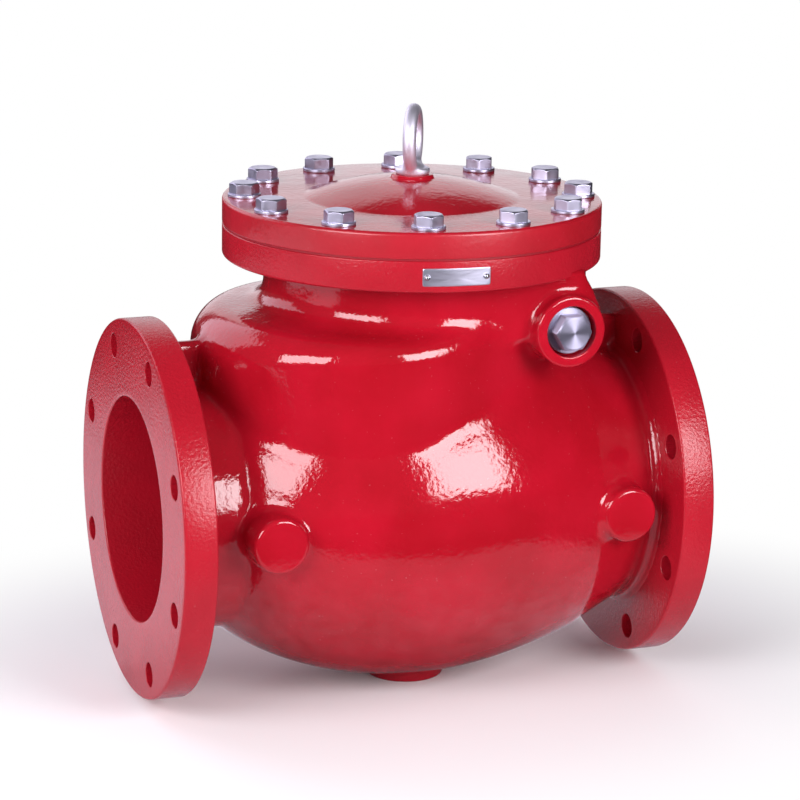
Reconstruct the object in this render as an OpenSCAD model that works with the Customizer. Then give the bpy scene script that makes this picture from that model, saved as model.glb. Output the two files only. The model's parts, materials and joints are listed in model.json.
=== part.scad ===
// Flanged swing non-return valve with a bolted cover.
// The origin is the centre of the inlet flange face; the liquid runs towards -X and +Z is up.
// Inside the modules the valve's middle on the pipe axis is the zero point.

/* [Pipe ends] */
// Length from flange face to flange face
face_to_face = 495.3; // [480:0.1:600]
// Bore of both ports
port_d = 203.2; // [194:0.1:206]
// Outside diameter of the pipe flanges
flange_d = 343; // [336:0.5:380]
// Thickness of the pipe flanges
flange_t = 30; // [24:0.5:34]
// Distance of the bolt holes from the rim of the pipe flanges
flange_edge = 22.25; // [20:0.05:24]
// Holes in each pipe flange, none of them on the vertical centre line
flange_holes = 8; // [4:4:12]
// Diameter of the holes in the pipe flanges
flange_hole_d = 22.2; // [18:0.1:24]
// Wall of the pipe necks beside the flanges
neck_wall = 10.6; // [8:0.1:12]
// Fillet between a neck and the back of its flange
neck_fillet = 9; // [4:0.5:12]
// Thickness of the ribs on top of the necks
rib_t = 14; // [8:1:20]
// How far the rib tops stay below the rims of the pipe flanges
rib_drop = 20; // [10:0.5:30]

/* [Body] */
// Wall of the cast chamber
wall = 13; // [10:0.5:15]
// How far the bulb stands out past the rims of the pipe flanges
bulb_proud = 0.5; // [0:0.1:4]
// How far the ends of the ellipse that shapes the bulb stay behind the flange faces
bulb_short = 4.65; // [0:0.05:10]
// Widest place of the bulb, towards the inlet from the middle
bulb_x = 12; // [6:1:16]
// Rounding of the bulb's blunt inlet end
bulb_end_round = 22; // [14:1:26]
// How far the upright barrel that the clapper swings up into stays inside the bulb
barrel_set_in = 20; // [16:0.5:24]
// Barrel axis, towards the outlet from the middle
barrel_back = 34; // [28:1:38]
// Depth of the barrel's shoulder, where its slope meets the barrel's side, below the bonnet joint
shoulder_drop = 74.7; // [70:0.1:80]
// Slope of the barrel's shoulder, in degrees
shoulder_slope = 6; // [2:1:12]
// Rounding of the barrel's shoulder
shoulder_round = 38; // [30:0.5:44]
// Radius of the blind side bosses for drain or bypass taps
side_boss_r = 25; // [20:1:30]
// Distance of the outlet side bosses from the outlet flange face
outlet_boss_in = 93.15; // [86:0.05:98]
// Distance of the inlet side bosses from the inlet flange face
inlet_boss_in = 72.85; // [66:0.05:80]
// Radius of the drain boss under the body
drain_boss_r = 36; // [28:1:44]
// How far the drain boss stands out below the bulb
drain_boss_h = 7.5; // [4:0.5:16]

/* [Bonnet and cover] */
// Height of the bonnet joint face above the pipe axis
joint_z = 247.2; // [244:0.1:256]
// Bonnet axis, towards the inlet from the middle
bonnet_x = 16; // [12:1:20]
// Thickness of the bonnet flange
bonnet_t = 27.6; // [26:0.1:32]
// Width of the bonnet flange outside its upright neck
bonnet_ledge = 37.5; // [36:0.5:39.5]
// Fillet under the bonnet flange
bonnet_fillet = 5; // [2:0.5:8]
// Thickness of the cover gasket
gasket_t = 1.6; // [0.8:0.1:3]
// How far the gasket stays inside the rim
gasket_inset = 1.5; // [0.5:0.5:4]
// Thickness of the cover at its rim
cover_t = 23.2; // [18:0.1:28]
// Width of the flat rim round the cover's dome
dome_margin = 74.5; // [68:0.5:86]
// Height of the dome
dome_h = 18.2; // [12:0.1:24]
// Wall of the dome
dome_wall = 14; // [10:0.5:18]
// Radius of the pad under the lifting eye
pad_r = 19; // [17:0.5:24]
// Height of the pad top above the cover's flat face
pad_h = 20.8; // [19:0.1:27]
// Radius of the stop lug inside the cover where the arm meets it
stop_r = 15; // [12:1:18]
// Radius of the stop lug at its root
stop_root_r = 21; // [19:1:26]

/* [Cover bolts] */
// Number of cover bolts, none of them on a centre line
bolt_count = 12; // [8:4:16]
// Distance of the cover bolts from the cover's rim
bolt_edge = 20; // [18:0.5:22]
// Shank diameter of the cover bolts
bolt_d = 16; // [14:1:18]
// Size across the flats of a bolt head
bolt_af = 24; // [22:0.5:27]
// Height of a bolt head
bolt_head_h = 10; // [8:0.5:13]
// Length of a bolt under its head
bolt_l = 50; // [46:1:52]
// Diameter of the washers
washer_d = 30; // [28:0.5:32]
// Thickness of the washers
washer_t = 3; // [2:0.5:4]
// Turn of each bolt head against the one before
bolt_turn = 23; // [0:1:59]

/* [Lifting eye] */
// Middle radius of the eye's ring
eye_ring_r = 25.5; // [23:0.5:28]
// Radius of the eye's rod
eye_rod_r = 6; // [5:0.5:7]
// Radius of the eye's collar
eye_collar_r = 15.8; // [14:0.2:17]
// Height of the straight edge of the collar
eye_collar_h = 4; // [3:0.5:6]
// Height of the ring's middle above the pad
eye_rise = 32; // [31:0.5:36]
// Length of the eye's threaded shank
eye_shank_l = 25; // [18:1:28]
// Diameter of the eye's threaded shank
eye_shank_d = 16; // [12:1:18]
// Turn of the ring about the upright axis
eye_turn = -28; // [-90:1:90]

/* [Hinge] */
// Distance of the hinge axis from the inlet flange face
hinge_in = 135.65; // [133:0.05:139]
// Depth of the hinge axis below the bonnet joint
hinge_drop = 74.2; // [72:0.1:77]
// Diameter of the hinge pin
pin_d = 20; // [16:0.5:22]
// Gap between an end of the hinge pin and the side plug
pin_end_gap = 12; // [9:0.5:15]
// Wall of the bronze bushes
bush_wall = 5; // [3:0.5:5.5]
// Gap between a bush and the side plug outside it
bush_end_gap = 11; // [2:1:30]
// Radius of the hinge bosses on the outside
hinge_boss_r = 32.3; // [30:0.1:35]
// How far the hinge boss faces stay inside the bonnet rim
hinge_boss_in = 21.5; // [16:0.5:25]
// How far the web over a hinge boss stays behind the boss face
web_setback = 12; // [6:1:18]
// Half width of the web over a hinge boss
web_half_w = 36; // [33:0.5:38]
// Distance of the thrust faces inside the body from the middle plane
ear_y = 52; // [48:0.5:54]
// Radius of the ears inside the body
ear_r = 26; // [23:0.5:28]
// Thickness of the thrust washers
thrust_t = 1.5; // [1:0.1:3]
// Thread diameter of the side plugs
plug_d = 33.2; // [33:0.1:36]
// Length of the side plug's thread
plug_l = 14; // [12:0.5:18]
// Diameter of the side plug's collar
plug_collar_d = 42; // [40:0.5:44]
// Depth of the spot face that each side plug is sunk in
plug_sink = 13; // [8:0.5:15]
// Gap round the plug's collar in its spot face
plug_spot_gap = 1.9; // [1:0.1:3]
// Thickness of the side plug's collar
plug_collar_t = 5.5; // [3:0.5:7]
// Size across the flats of the side plug's hexagon
plug_af = 30; // [27:0.5:34]
// Height of the side plug's hexagon
plug_hex_h = 13; // [11:0.5:15]
// Thickness of the plug's sealing ring
plug_gasket_t = 1.5; // [1:0.1:2.5]

/* [Seat] */
// Lean of the seat, so that the clapper closes by its own weight
seat_tilt = 5; // [4:0.5:6]
// Distance of the sealing plane from the hinge axis
seat_offset = 26; // [25.5:0.1:27]
// Width of the sealing land
seat_land = 11.4; // [9:0.1:12]
// Thickness of the seat ring's flange
seat_flange_t = 8; // [6:0.5:9]
// Wall of the seat ring's spigot
seat_spigot_wall = 6.4; // [4:0.1:7]
// Length of the seat ring's spigot
seat_spigot_l = 14; // [8:0.5:16]
// How far the machined seat boss stands out of the bulkhead
seat_boss_h = 4; // [2:0.5:6]
// Margin of the seat boss round the seat ring
seat_boss_margin = 9; // [6:0.5:10]

/* [Clapper] */
// How far the clapper swings open
open_angle = 65; // [50:1:68]
// Thickness of the clapper plate
disc_t = 12; // [10:0.5:13]
// Thickness of the rubber seal
seal_t = 8; // [6:0.5:9]
// Width of the rubber seal
seal_w = 38; // [30:1:44]
// Rim of the clapper round the seal
disc_rim = 3; // [2:0.5:4]
// Depth of the groove that the rim makes round the seal
rim_h = 4; // [2:0.5:5]
// Number of ribs on the back of the clapper
disc_ribs = 6; // [4:1:8]
// Thickness of the ribs on the back of the clapper
disc_rib_t = 8; // [5:0.5:10]
// Radius of the boss on the back of the clapper
disc_boss_r = 30; // [26:1:34]
// Height of the boss on the back of the clapper
disc_boss_h = 7.7; // [6:0.1:8]
// Diameter of the clapper's stem
stem_d = 24; // [20:0.5:26]
// How far the stem stands out of its nut
stem_past = 3; // [1:0.5:5]
// Gap between the retainer's edge and the port bore
retainer_margin = 9; // [6:0.5:14]
// Thickness of the seal retainer
retainer_t = 5; // [3:0.5:7]
// Number of retainer screws
screw_count = 8; // [4:1:12]
// Thread diameter of the retainer screws
screw_d = 8; // [6:1:10]
// Size across the flats of the retainer screws
screw_af = 13; // [11:0.5:17]
// Head height of the retainer screws
screw_head_h = 5.3; // [4:0.1:6]
// Length of the retainer screws under the head
screw_l = 18; // [12:1:20]
// Size across the flats of the clapper nut
nut_af = 36; // [34:0.5:38]
// Height of the clapper nut under its crown
nut_h = 16; // [14:0.5:20]
// Height of the nut's slotted crown
crown_h = 8; // [6:0.5:9]
// Diameter of the split pin
split_pin_d = 4; // [3:0.5:5]
// Thickness of the clapper washer
clapper_washer_t = 3; // [2:0.5:4]
// Diameter of the clapper washer
clapper_washer_d = 44; // [42:1:50]

/* [Arm] */
// Radius of the arm's hub
hub_r = 20; // [18:0.5:21]
// Thickness of the arm's eye
arm_eye_t = 24; // [20:0.5:26]
// Radius of the arm's eye
arm_eye_r = 26; // [24:0.5:30]
// Half width of the arm at the hub
arm_half_w = 28; // [22:1:34]
// Half width of the arm at the eye
arm_tip_half_w = 18; // [14:1:22]
// Height of the flat pad that meets the stop lug
stop_pad_h = 3; // [2:0.5:5]
// Diameter of the two dowels that lock the arm on its pin
dowel_d = 6; // [4:0.5:7]
// Distance of the dowels from the middle plane
dowel_y = 35; // [31:1:42]

/* [Tag plate] */
// Width of the blank plate on the bonnet rim
tag_w = 60; // [50:1:70]
// Height of the blank plate
tag_h = 15.6; // [12:0.1:18]
// Thickness of the blank plate
tag_t = 0.8; // [0.5:0.1:1.5]
// Place of the plate on the rim, in degrees from the front
tag_angle = -7.1; // [-30:0.1:30]
// Diameter of the two drive rivets
rivet_d = 3; // [2:0.1:4]
// Length of a drive rivet in the casting
rivet_l = 7; // [5:0.5:10]
// Distance of the rivets from the ends of the plate
rivet_margin = 4; // [3:0.5:6]

/* [Fits] */
// Radial clearance of what turns on or in something
run_fit = 0.05; // [0.02:0.01:0.09]
// Radial clearance of what is fixed in a hole
fixed_fit = 0.05; // [0.02:0.01:0.2]
// Gap between faces that move past each other
face_gap = 0.3; // [0.2:0.1:0.6]
// Gap between the arm and its stop lug when the clapper is open
stop_gap = 0.6; // [0.3:0.1:1.5]
// Radial clearance of bolts in plain holes
bolt_clearance = 1; // [0.5:0.1:1.5]
// Room round the arm's hub inside the body
pocket_gap = 4; // [3:0.5:5]
// Gap between the boss of the clapper and the arm's eye
boss_gap = 1; // [0.5:0.1:1.5]

/* [Hidden] */
$fn = 96;

half_l = face_to_face / 2;
bore_r = port_d / 2;
neck_r = bore_r + neck_wall;
flange_r = flange_d / 2;
flange_pcd = flange_d - 2 * flange_edge;
rib_top = flange_r - rib_drop;

// Broken edges of the castings, and of turned and pressed pieces.
edge = 2;
fine_edge = 1;
crisp_edge = 0.5;
// How far a cut runs past the face that it opens.
past = 1;
// How much deeper than its screw a blind hole is.
tap_extra = 2;

// Pipe side of the bulb: the ellipse leaves the outlet neck in a hollow arc and ends in a blunt round.
leave_t = 42;
blunt_t = 123;
bulb_r = flange_r + bulb_proud;
bulb_half_l = half_l - bulb_short;
leave_n = ellipse_normal(leave_t);
blunt_n = ellipse_normal(blunt_t);
leave_p = ellipse_point(leave_t, bulb_half_l, bulb_r);
blunt_p = ellipse_point(blunt_t, bulb_half_l, bulb_r);
leave_r = (leave_p[0] - neck_r) / (1 - leave_n[0]);
blunt_c = blunt_p - bulb_end_round * blunt_n;
bulb_end_x = blunt_c[1] + bulb_end_round;

barrel_x = -barrel_back;
barrel_r = bulb_r - barrel_set_in;
shoulder_z = joint_z - shoulder_drop;
barrel_top = 0.35;
side_boss_y = barrel_r;
outlet_boss_x = half_l - outlet_boss_in;
inlet_boss_x = half_l - inlet_boss_in;
drain_boss_z = bulb_r + drain_boss_h;
rib_root = 0.8;

// The bonnet flange and the cover are as wide as the pipe flanges.
bonnet_r = flange_r;
bonnet_neck_r = bonnet_r - bonnet_ledge;
bonnet_under = joint_z - bonnet_t;
bonnet_bore_r = bonnet_neck_r - wall;
cover_z = joint_z + gasket_t;
cover_top = cover_z + cover_t;
dome_r = bonnet_r - dome_margin;
dome_ball_r = (dome_r * dome_r + dome_h * dome_h) / (2 * dome_h);
dome_ball_z = cover_top + dome_h - dome_ball_r;
pad_z = cover_top + pad_h;
bolt_pcd = 2 * (bonnet_r - bolt_edge);
bolt_hole_depth = bolt_l - washer_t - cover_t - gasket_t + tap_extra;
bolt_seat_z = cover_top + washer_t;
tag_z = joint_z - bonnet_t / 2;
rivet_head_r = rivet_d * 0.9;

// A hexagon's flat top, as a share of its width across the flats, and the slope of its corners.
hex_flat = 0.96;
hex_slope = 0.5;

hinge_x = half_l - hinge_in;
hinge_z = joint_z - hinge_drop;
hinge_boss_y = bonnet_r - hinge_boss_in;
pin_r = pin_d / 2;
bush_r = pin_r + bush_wall;
plug_r = plug_d / 2;
plug_seat_y = hinge_boss_y - plug_sink;
plug_spot_r = plug_collar_d / 2 + plug_spot_gap;
plug_bore_in = plug_seat_y - plug_l - 2 * tap_extra;
bush_l = plug_seat_y - plug_l - bush_end_gap - ear_y;
pin_half_l = plug_seat_y - plug_l - pin_end_gap;
ear_root_y = bonnet_neck_r * 0.85;
hub_half_l = ear_y - thrust_t - 2 * face_gap;
pocket_r = hub_r + pocket_gap;
web_y = hinge_boss_y - web_setback;
web_foot = hinge_boss_r * 0.3;
web_round = web_half_w * 0.6;
web_round_drop = web_round * 1.6;
web_top = bonnet_under + 2 * edge - hinge_z;

// The clapper's own frame has the hinge axis at zero, +X towards the inlet and the disc hanging below.
swing_l = (hinge_z - seat_offset * sin(seat_tilt)) / cos(seat_tilt);
seat_r = bore_r + seat_land;
spigot_r = bore_r + seat_spigot_wall;
ring_back = seat_offset + seat_flange_t;
bulkhead_x = ring_back + seat_boss_h;
seal_front = seat_offset - face_gap;
seal_back = seal_front - seal_t;
seal_in_r = seat_r - seal_w;
disc_r = seat_r + disc_rim;
disc_back = seal_back - disc_t;
boss_back = disc_back - disc_boss_h;
retainer_r = bore_r - retainer_margin;
screw_r = seal_in_r - screw_af;
eye_front = boss_back - boss_gap;
eye_back = eye_front - arm_eye_t;
nut_front = eye_back - face_gap - clapper_washer_t;
nut_back = nut_front - nut_h;
stem_end = nut_back - crown_h - stem_past;
split_pin_x = nut_back - crown_h / 2;
stem_r = stem_d / 2;
disc_rib_low = boss_back + edge;
disc_rib_end_r = disc_r - 4 * edge;
bar_top_drop = hub_r * 0.3;
bar_bend_drop = swing_l * 0.29;
bar_width = hub_r * 0.9;

// Where the lug under the cover meets the back of the open arm.
open_lean = seat_tilt + open_angle;
stop_l = (hinge_x + eye_back * cos(open_lean) - bonnet_x) / sin(open_lean);
stop_z = hinge_z - eye_back * sin(open_lean) - stop_l * cos(open_lean);
stop_half_l = stop_r / sin(open_lean) + stop_pad_h;

enamel = "crimson";
iron = "dimgray";
zinc = "silver";
bronze = "peru";
steel = "lightsteelblue";
rubber = "#222222";
fibre = "darkslategray";

// Points of a circular arc round (cx, cy) from angle a0 to angle a1.
function arc(cx, cy, r, a0, a1, n = 8) =
    [for (i = [0:n]) let (a = a0 + (a1 - a0) * i / n) [cx + r * cos(a), cy + r * sin(a)]];

// A point of the bulb's ellipse as [radius, place along the pipe]; t runs from the outlet to the inlet.
function ellipse_point(t, long, wide) = [wide * sin(t), bulb_x - long * cos(t)];

// The outward normal of the bulb's ellipse at t.
function ellipse_normal(t) =
    let (n = [sin(t) / bulb_r, -cos(t) / bulb_half_l]) n / norm(n);

// Angle of a direction given as [radius, place along the pipe].
function bearing(v) = atan2(v[1], v[0]);

// Moves children from the valve's middle to the part's origin on the inlet flange.
module place() translate([-half_l, 0, 0]) children();

// Turns a profile or a part that stands on Z so that it lies along the pipe, its top towards the inlet.
module along_pipe() rotate([0, 90, 0]) children();

// Puts children in the clapper's own frame, swung open by the angle given.
module at_hinge(open = 0)
    translate([hinge_x, 0, hinge_z]) rotate([0, seat_tilt + open, 0]) children();

// Puts children on the clapper's axis at distance x from the hinge plane, their Z towards the inlet.
module on_disc_axis(x = 0)
    translate([x, 0, -swing_l]) along_pipe() children();

// A round bar along Y from y0 to y1, at the hinge axis of the body.
module hinge_bar(r, y0, y1)
    translate([hinge_x, y0, hinge_z]) rotate([-90, 0, 0]) cylinder(r = r, h = y1 - y0);

// The same on both sides of the middle plane.
module both_sides() {
    children();
    mirror([0, 1, 0]) children();
}

// A tube on Z from z0 to z1.
module tube(r_out, r_in, z0, z1)
    difference() {
        translate([0, 0, z0]) cylinder(r = r_out, h = z1 - z0);
        translate([0, 0, z0 - past]) cylinder(r = r_in, h = z1 - z0 + 2 * past);
    }

// A hexagon on Z with chamfered corners at its top.
module hex_head(af, h) {
    r = af / 2;
    corner = af / sqrt(3);
    intersection() {
        cylinder(r = corner, h = h, $fn = 6);
        rotate_extrude()
            polygon([[0, 0], [corner + past, 0], [corner + past, h - (corner + past - r) * hex_slope],
                [r * hex_flat, h], [0, h]]);
    }
}

// Outside of the flanges, necks and bulb, turned about the pipe axis.
module pipe_outside() {
    back = half_l - flange_t;
    profile = concat(
        [[0, -half_l], [flange_r - edge, -half_l], [flange_r, -half_l + edge],
            [flange_r, -back - edge], [flange_r - edge, -back]],
        arc(neck_r + neck_fillet, -back + neck_fillet, neck_fillet, 270, 180),
        arc(neck_r + leave_r, leave_p[1] + leave_r * leave_n[1], leave_r, 180, bearing(-leave_n)),
        [for (t = [leave_t + 3:3:blunt_t]) ellipse_point(t, bulb_half_l, bulb_r)],
        arc(blunt_c[0], blunt_c[1], bulb_end_round, bearing(blunt_n), 90),
        arc(neck_r + neck_fillet, bulb_end_x + neck_fillet, neck_fillet, 270, 180),
        arc(neck_r + neck_fillet, back - neck_fillet, neck_fillet, 180, 90),
        [[flange_r - edge, back], [flange_r, back + edge], [flange_r, half_l - edge],
            [flange_r - edge, half_l], [0, half_l]]);
    along_pipe() rotate_extrude() polygon(profile);
}

// Upright barrel with its sloping, rounded shoulder, or the same smaller by an inset.
module barrel(inset = 0) {
    r = barrel_r - inset;
    round = shoulder_round - inset;
    corner_z = shoulder_z - inset * (1 - sin(shoulder_slope)) / cos(shoulder_slope);
    crown_z = corner_z + r * (1 - barrel_top) * tan(shoulder_slope);
    translate([barrel_x, 0, 0]) rotate_extrude()
        polygon(concat([[0, 0], [r, 0]],
            arc(r - round, corner_z - round * tan((90 - shoulder_slope) / 2), round, 0, 90 - shoulder_slope),
            [[r * barrel_top, crown_z], [0, crown_z]]));
}

// Upright neck and bonnet flange.
module bonnet_outside()
    translate([bonnet_x, 0, 0]) rotate_extrude()
        polygon(concat([[0, 0], [bonnet_neck_r, 0]],
            arc(bonnet_neck_r + bonnet_fillet, bonnet_under - bonnet_fillet, bonnet_fillet, 180, 90),
            [[bonnet_r - edge, bonnet_under], [bonnet_r, bonnet_under + edge],
                [bonnet_r, joint_z - edge / 2], [bonnet_r - edge / 2, joint_z], [0, joint_z]]));

// Hinge boss on one side, with the web that carries it up to the bonnet flange.
module hinge_boss() {
    translate([hinge_x, 0, hinge_z]) rotate([90, 0, 0]) rotate_extrude()
        polygon([[0, 0], [hinge_boss_r, 0], [hinge_boss_r, hinge_boss_y - edge],
            [hinge_boss_r - edge, hinge_boss_y], [0, hinge_boss_y]]);
    translate([hinge_x, 0, hinge_z]) rotate([90, 0, 0]) linear_extrude(web_y)
        polygon(concat([[-web_half_w, -web_foot], [web_half_w, -web_foot]],
            arc(web_half_w - web_round, web_top - web_round_drop, web_round, 0, 32),
            [[web_half_w / 2, web_top], [-web_half_w, web_top]]));
}

// Blind boss on one side of the body.
module side_boss(x)
    translate([x, 0, 0]) rotate([90, 0, 0]) rotate_extrude()
        polygon([[0, bore_r], [side_boss_r, bore_r], [side_boss_r, side_boss_y - edge],
            [side_boss_r - edge, side_boss_y], [0, side_boss_y]]);

// Rib on top of a neck, between x0 and x1.
module neck_rib(x0, x1)
    translate([x0, -rib_t / 2, bore_r + neck_wall / 2])
        cube([x1 - x0, rib_t, rib_top - bore_r - neck_wall / 2]);

module body_outside() {
    pipe_outside();
    barrel();
    bonnet_outside();
    neck_rib(-half_l + flange_t / 2, barrel_x - barrel_r * rib_root);
    neck_rib(bonnet_x + bonnet_neck_r * rib_root, half_l - flange_t / 2);
    both_sides() {
        hinge_boss();
        side_boss(-outlet_boss_x);
        side_boss(inlet_boss_x);
    }
    translate([bonnet_x, 0, -drain_boss_z]) rotate_extrude()
        polygon([[0, 0], [drain_boss_r - edge, 0], [drain_boss_r, edge],
            [drain_boss_r, drain_boss_z - bore_r - wall], [0, drain_boss_z - bore_r - wall]]);
}

// Room that the clapper swings in: the hollow bulb, barrel and neck, on the outlet side of the bulkhead.
module chamber() {
    intersection() {
        union() {
            along_pipe() rotate_extrude()
                polygon([for (t = [0:4:180]) ellipse_point(t, bulb_half_l - wall, bulb_r - wall)]);
            barrel(wall);
            translate([bonnet_x, 0, 0]) cylinder(r = bonnet_bore_r, h = joint_z + past);
        }
        at_hinge() translate([bulkhead_x - 2 * face_to_face, -face_to_face, -2 * face_to_face])
            cube([2 * face_to_face, 2 * face_to_face, 3 * face_to_face]);
    }
    hinge_bar(pocket_r, -ear_y, ear_y);
}

// Straight bore of both ports, up to the chamber and up to the seat ring.
module port_bores() {
    translate([-half_l - past, 0, 0]) along_pipe() cylinder(r = bore_r, h = half_l);
    translate([hinge_x, 0, 0]) along_pipe() cylinder(r = bore_r, h = half_l - hinge_x + past);
}

// A ring of holes or bolts about Z, none of them on the first axis.
module straddled(count, pcd)
    for (i = [0:count - 1])
        rotate([0, 0, (i + 0.5) * 360 / count]) translate([pcd / 2, 0, 0]) children();

module flange_bolt_holes()
    for (x = [-half_l - past, half_l - flange_t - past])
        translate([x, 0, 0]) along_pipe() straddled(flange_holes, flange_pcd)
            cylinder(d = flange_hole_d, h = flange_t + 2 * past);

// Tapped holes for the cover bolts.
module bonnet_bolt_holes()
    translate([bonnet_x, 0, joint_z - bolt_hole_depth]) straddled(bolt_count, bolt_pcd)
        cylinder(r = bolt_d / 2 + fixed_fit, h = bolt_hole_depth + past);

// Bores for the bushes, and the tapped holes and spot faces for the side plugs.
module hinge_bores() {
    hinge_bar(bush_r + fixed_fit, ear_y - past, plug_bore_in + past);
    hinge_bar(plug_r + fixed_fit, plug_bore_in, hinge_boss_y + past);
    hinge_bar(plug_spot_r, plug_seat_y, hinge_boss_y + past);
}

// Both rivets, standing on Z with the rim of the bonnet flange at zero.
module rivet_places()
    for (side = [-1, 1])
        translate([bonnet_x, 0, tag_z])
            rotate([0, 0, tag_angle + side * (tag_w / 2 - rivet_margin) / bonnet_r * 180 / PI])
                translate([0, -bonnet_r, 0]) rotate([90, 0, 0]) children();

// Body casting: flanges, necks, bulb, barrel, bonnet and hinge housing in one hollow piece.
module body()
    color(enamel) place() difference() {
        union() {
            difference() {
                body_outside();
                chamber();
            }
            both_sides() hinge_bar(ear_r, ear_y, ear_root_y);
            at_hinge() on_disc_axis(ring_back)
                cylinder(r = seat_r + seat_boss_margin, h = seat_boss_h + wall / 2);
        }
        port_bores();
        at_hinge() on_disc_axis(ring_back - past)
            cylinder(r = spigot_r + fixed_fit, h = seat_spigot_l + past);
        flange_bolt_holes();
        bonnet_bolt_holes();
        both_sides() hinge_bores();
        rivet_places() translate([0, 0, -rivet_l - fine_edge])
            cylinder(d = rivet_d + 2 * fixed_fit, h = rivet_l + fine_edge + past);
    }

// Bronze ring that the clapper closes on.
module seat_ring()
    color(bronze) place() at_hinge() on_disc_axis() rotate_extrude()
        polygon([[bore_r, seat_offset], [seat_r - fine_edge, seat_offset], [seat_r, seat_offset + fine_edge],
            [seat_r, ring_back], [spigot_r, ring_back], [spigot_r, ring_back + seat_spigot_l],
            [bore_r, ring_back + seat_spigot_l]]);

// Cover with its hollow dome, eye pad and the stop lug for the arm.
module cover() {
    rise = asin(dome_r / dome_ball_r);
    color(enamel) place() difference() {
        union() {
            difference() {
                translate([bonnet_x, 0, 0]) rotate_extrude()
                    polygon(concat([[0, cover_z], [bonnet_r - edge / 2, cover_z],
                        [bonnet_r, cover_z + edge / 2]],
                        arc(bonnet_r - 1.5 * edge, cover_top - 1.5 * edge, 1.5 * edge, 0, 90, 4),
                        [for (i = [0:10]) let (a = rise * (1 - i / 12))
                            [dome_ball_r * sin(a), dome_ball_z + dome_ball_r * cos(a)]],
                        [[0, dome_ball_z + dome_ball_r]]));
                translate([bonnet_x, 0, dome_ball_z]) intersection() {
                    sphere(r = dome_ball_r - dome_wall);
                    translate([0, 0, cover_z - dome_ball_z - past])
                        cylinder(r = bonnet_bore_r, h = dome_ball_r);
                }
            }
            translate([bonnet_x, 0, cover_top]) cylinder(r = pad_r, h = pad_h);
            stop_lug();
        }
        translate([bonnet_x, 0, cover_z - past]) straddled(bolt_count, bolt_pcd)
            cylinder(r = bolt_d / 2 + bolt_clearance, h = cover_t + 2 * past);
        translate([bonnet_x, 0, pad_z - eye_shank_l - tap_extra])
            cylinder(r = eye_shank_d / 2 + fixed_fit, h = eye_shank_l + tap_extra + past);
    }
}

// Tapered lug under the cover, cut off square to the open arm.
module stop_lug() {
    lug_z = stop_z - stop_r;
    difference() {
        translate([bonnet_x, 0, lug_z]) cylinder(r1 = stop_r, r2 = stop_root_r, h = cover_top - lug_z);
        at_hinge(open_angle)
            translate([eye_back - stop_gap, -bonnet_r, -face_to_face])
                cube([face_to_face, 2 * bonnet_r, face_to_face]);
    }
}

module cover_gasket()
    color(fibre) place() translate([bonnet_x, 0, 0]) difference() {
        tube(bonnet_r - gasket_inset, bonnet_bore_r, joint_z, cover_z);
        translate([0, 0, joint_z - past]) straddled(bolt_count, bolt_pcd)
            cylinder(r = bolt_d / 2 + bolt_clearance, h = gasket_t + 2 * past);
    }

module cover_bolts()
    color(zinc) place() translate([bonnet_x, 0, bolt_seat_z])
        for (i = [0:bolt_count - 1])
            rotate([0, 0, (i + 0.5) * 360 / bolt_count]) translate([bolt_pcd / 2, 0, 0])
                rotate([0, 0, i * bolt_turn]) {
                    hex_head(bolt_af, bolt_head_h);
                    translate([0, 0, -bolt_l]) cylinder(d = bolt_d, h = bolt_l + past);
                }

module cover_washers()
    color(zinc) place() translate([bonnet_x, 0, 0]) straddled(bolt_count, bolt_pcd)
        tube(washer_d / 2, bolt_d / 2 + fixed_fit, cover_top, bolt_seat_z);

// Eye bolt: a ring on a collar with a threaded shank.
module lifting_eye() {
    foot = eye_rise - eye_ring_r;
    color(zinc) place() translate([bonnet_x, 0, pad_z]) {
        rotate_extrude()
            polygon(concat([[0, -eye_shank_l], [eye_shank_d / 2 - fine_edge, -eye_shank_l],
                [eye_shank_d / 2, fine_edge - eye_shank_l], [eye_shank_d / 2, 0],
                [eye_collar_r - crisp_edge, 0], [eye_collar_r, crisp_edge], [eye_collar_r, eye_collar_h]],
                arc(eye_collar_r, foot + eye_rod_r, foot + eye_rod_r - eye_collar_h, 270, 200, 6),
                [[0, foot + eye_rod_r / 2]]));
        translate([0, 0, eye_rise]) rotate([0, 90, eye_turn]) rotate_extrude()
            translate([eye_ring_r, 0]) circle(r = eye_rod_r);
    }
}

module hinge_pin()
    color(steel) place() translate([hinge_x, 0, hinge_z]) rotate([0, seat_tilt, 0]) difference() {
        rotate([90, 0, 0]) translate([0, 0, -pin_half_l]) rotate_extrude()
            polygon([[0, 0], [pin_r - fine_edge, 0], [pin_r, fine_edge], [pin_r, 2 * pin_half_l - fine_edge],
                [pin_r - fine_edge, 2 * pin_half_l], [0, 2 * pin_half_l]]);
        dowel_places() cylinder(r = dowel_d / 2 + fixed_fit, h = 2 * hub_r, center = true);
    }

// The two dowels lie across the hub, along the clapper frame's X.
module dowel_places()
    for (side = [-1, 1])
        translate([0, side * dowel_y, 0]) along_pipe() children();

module pin_bush()
    translate([hinge_x, 0, hinge_z]) rotate([-90, 0, 0])
        tube(bush_r, pin_r + run_fit, ear_y, ear_y + bush_l);

module pin_bush_front() color(bronze) place() mirror([0, 1, 0]) pin_bush();

module pin_bush_rear() color(bronze) place() pin_bush();

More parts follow.
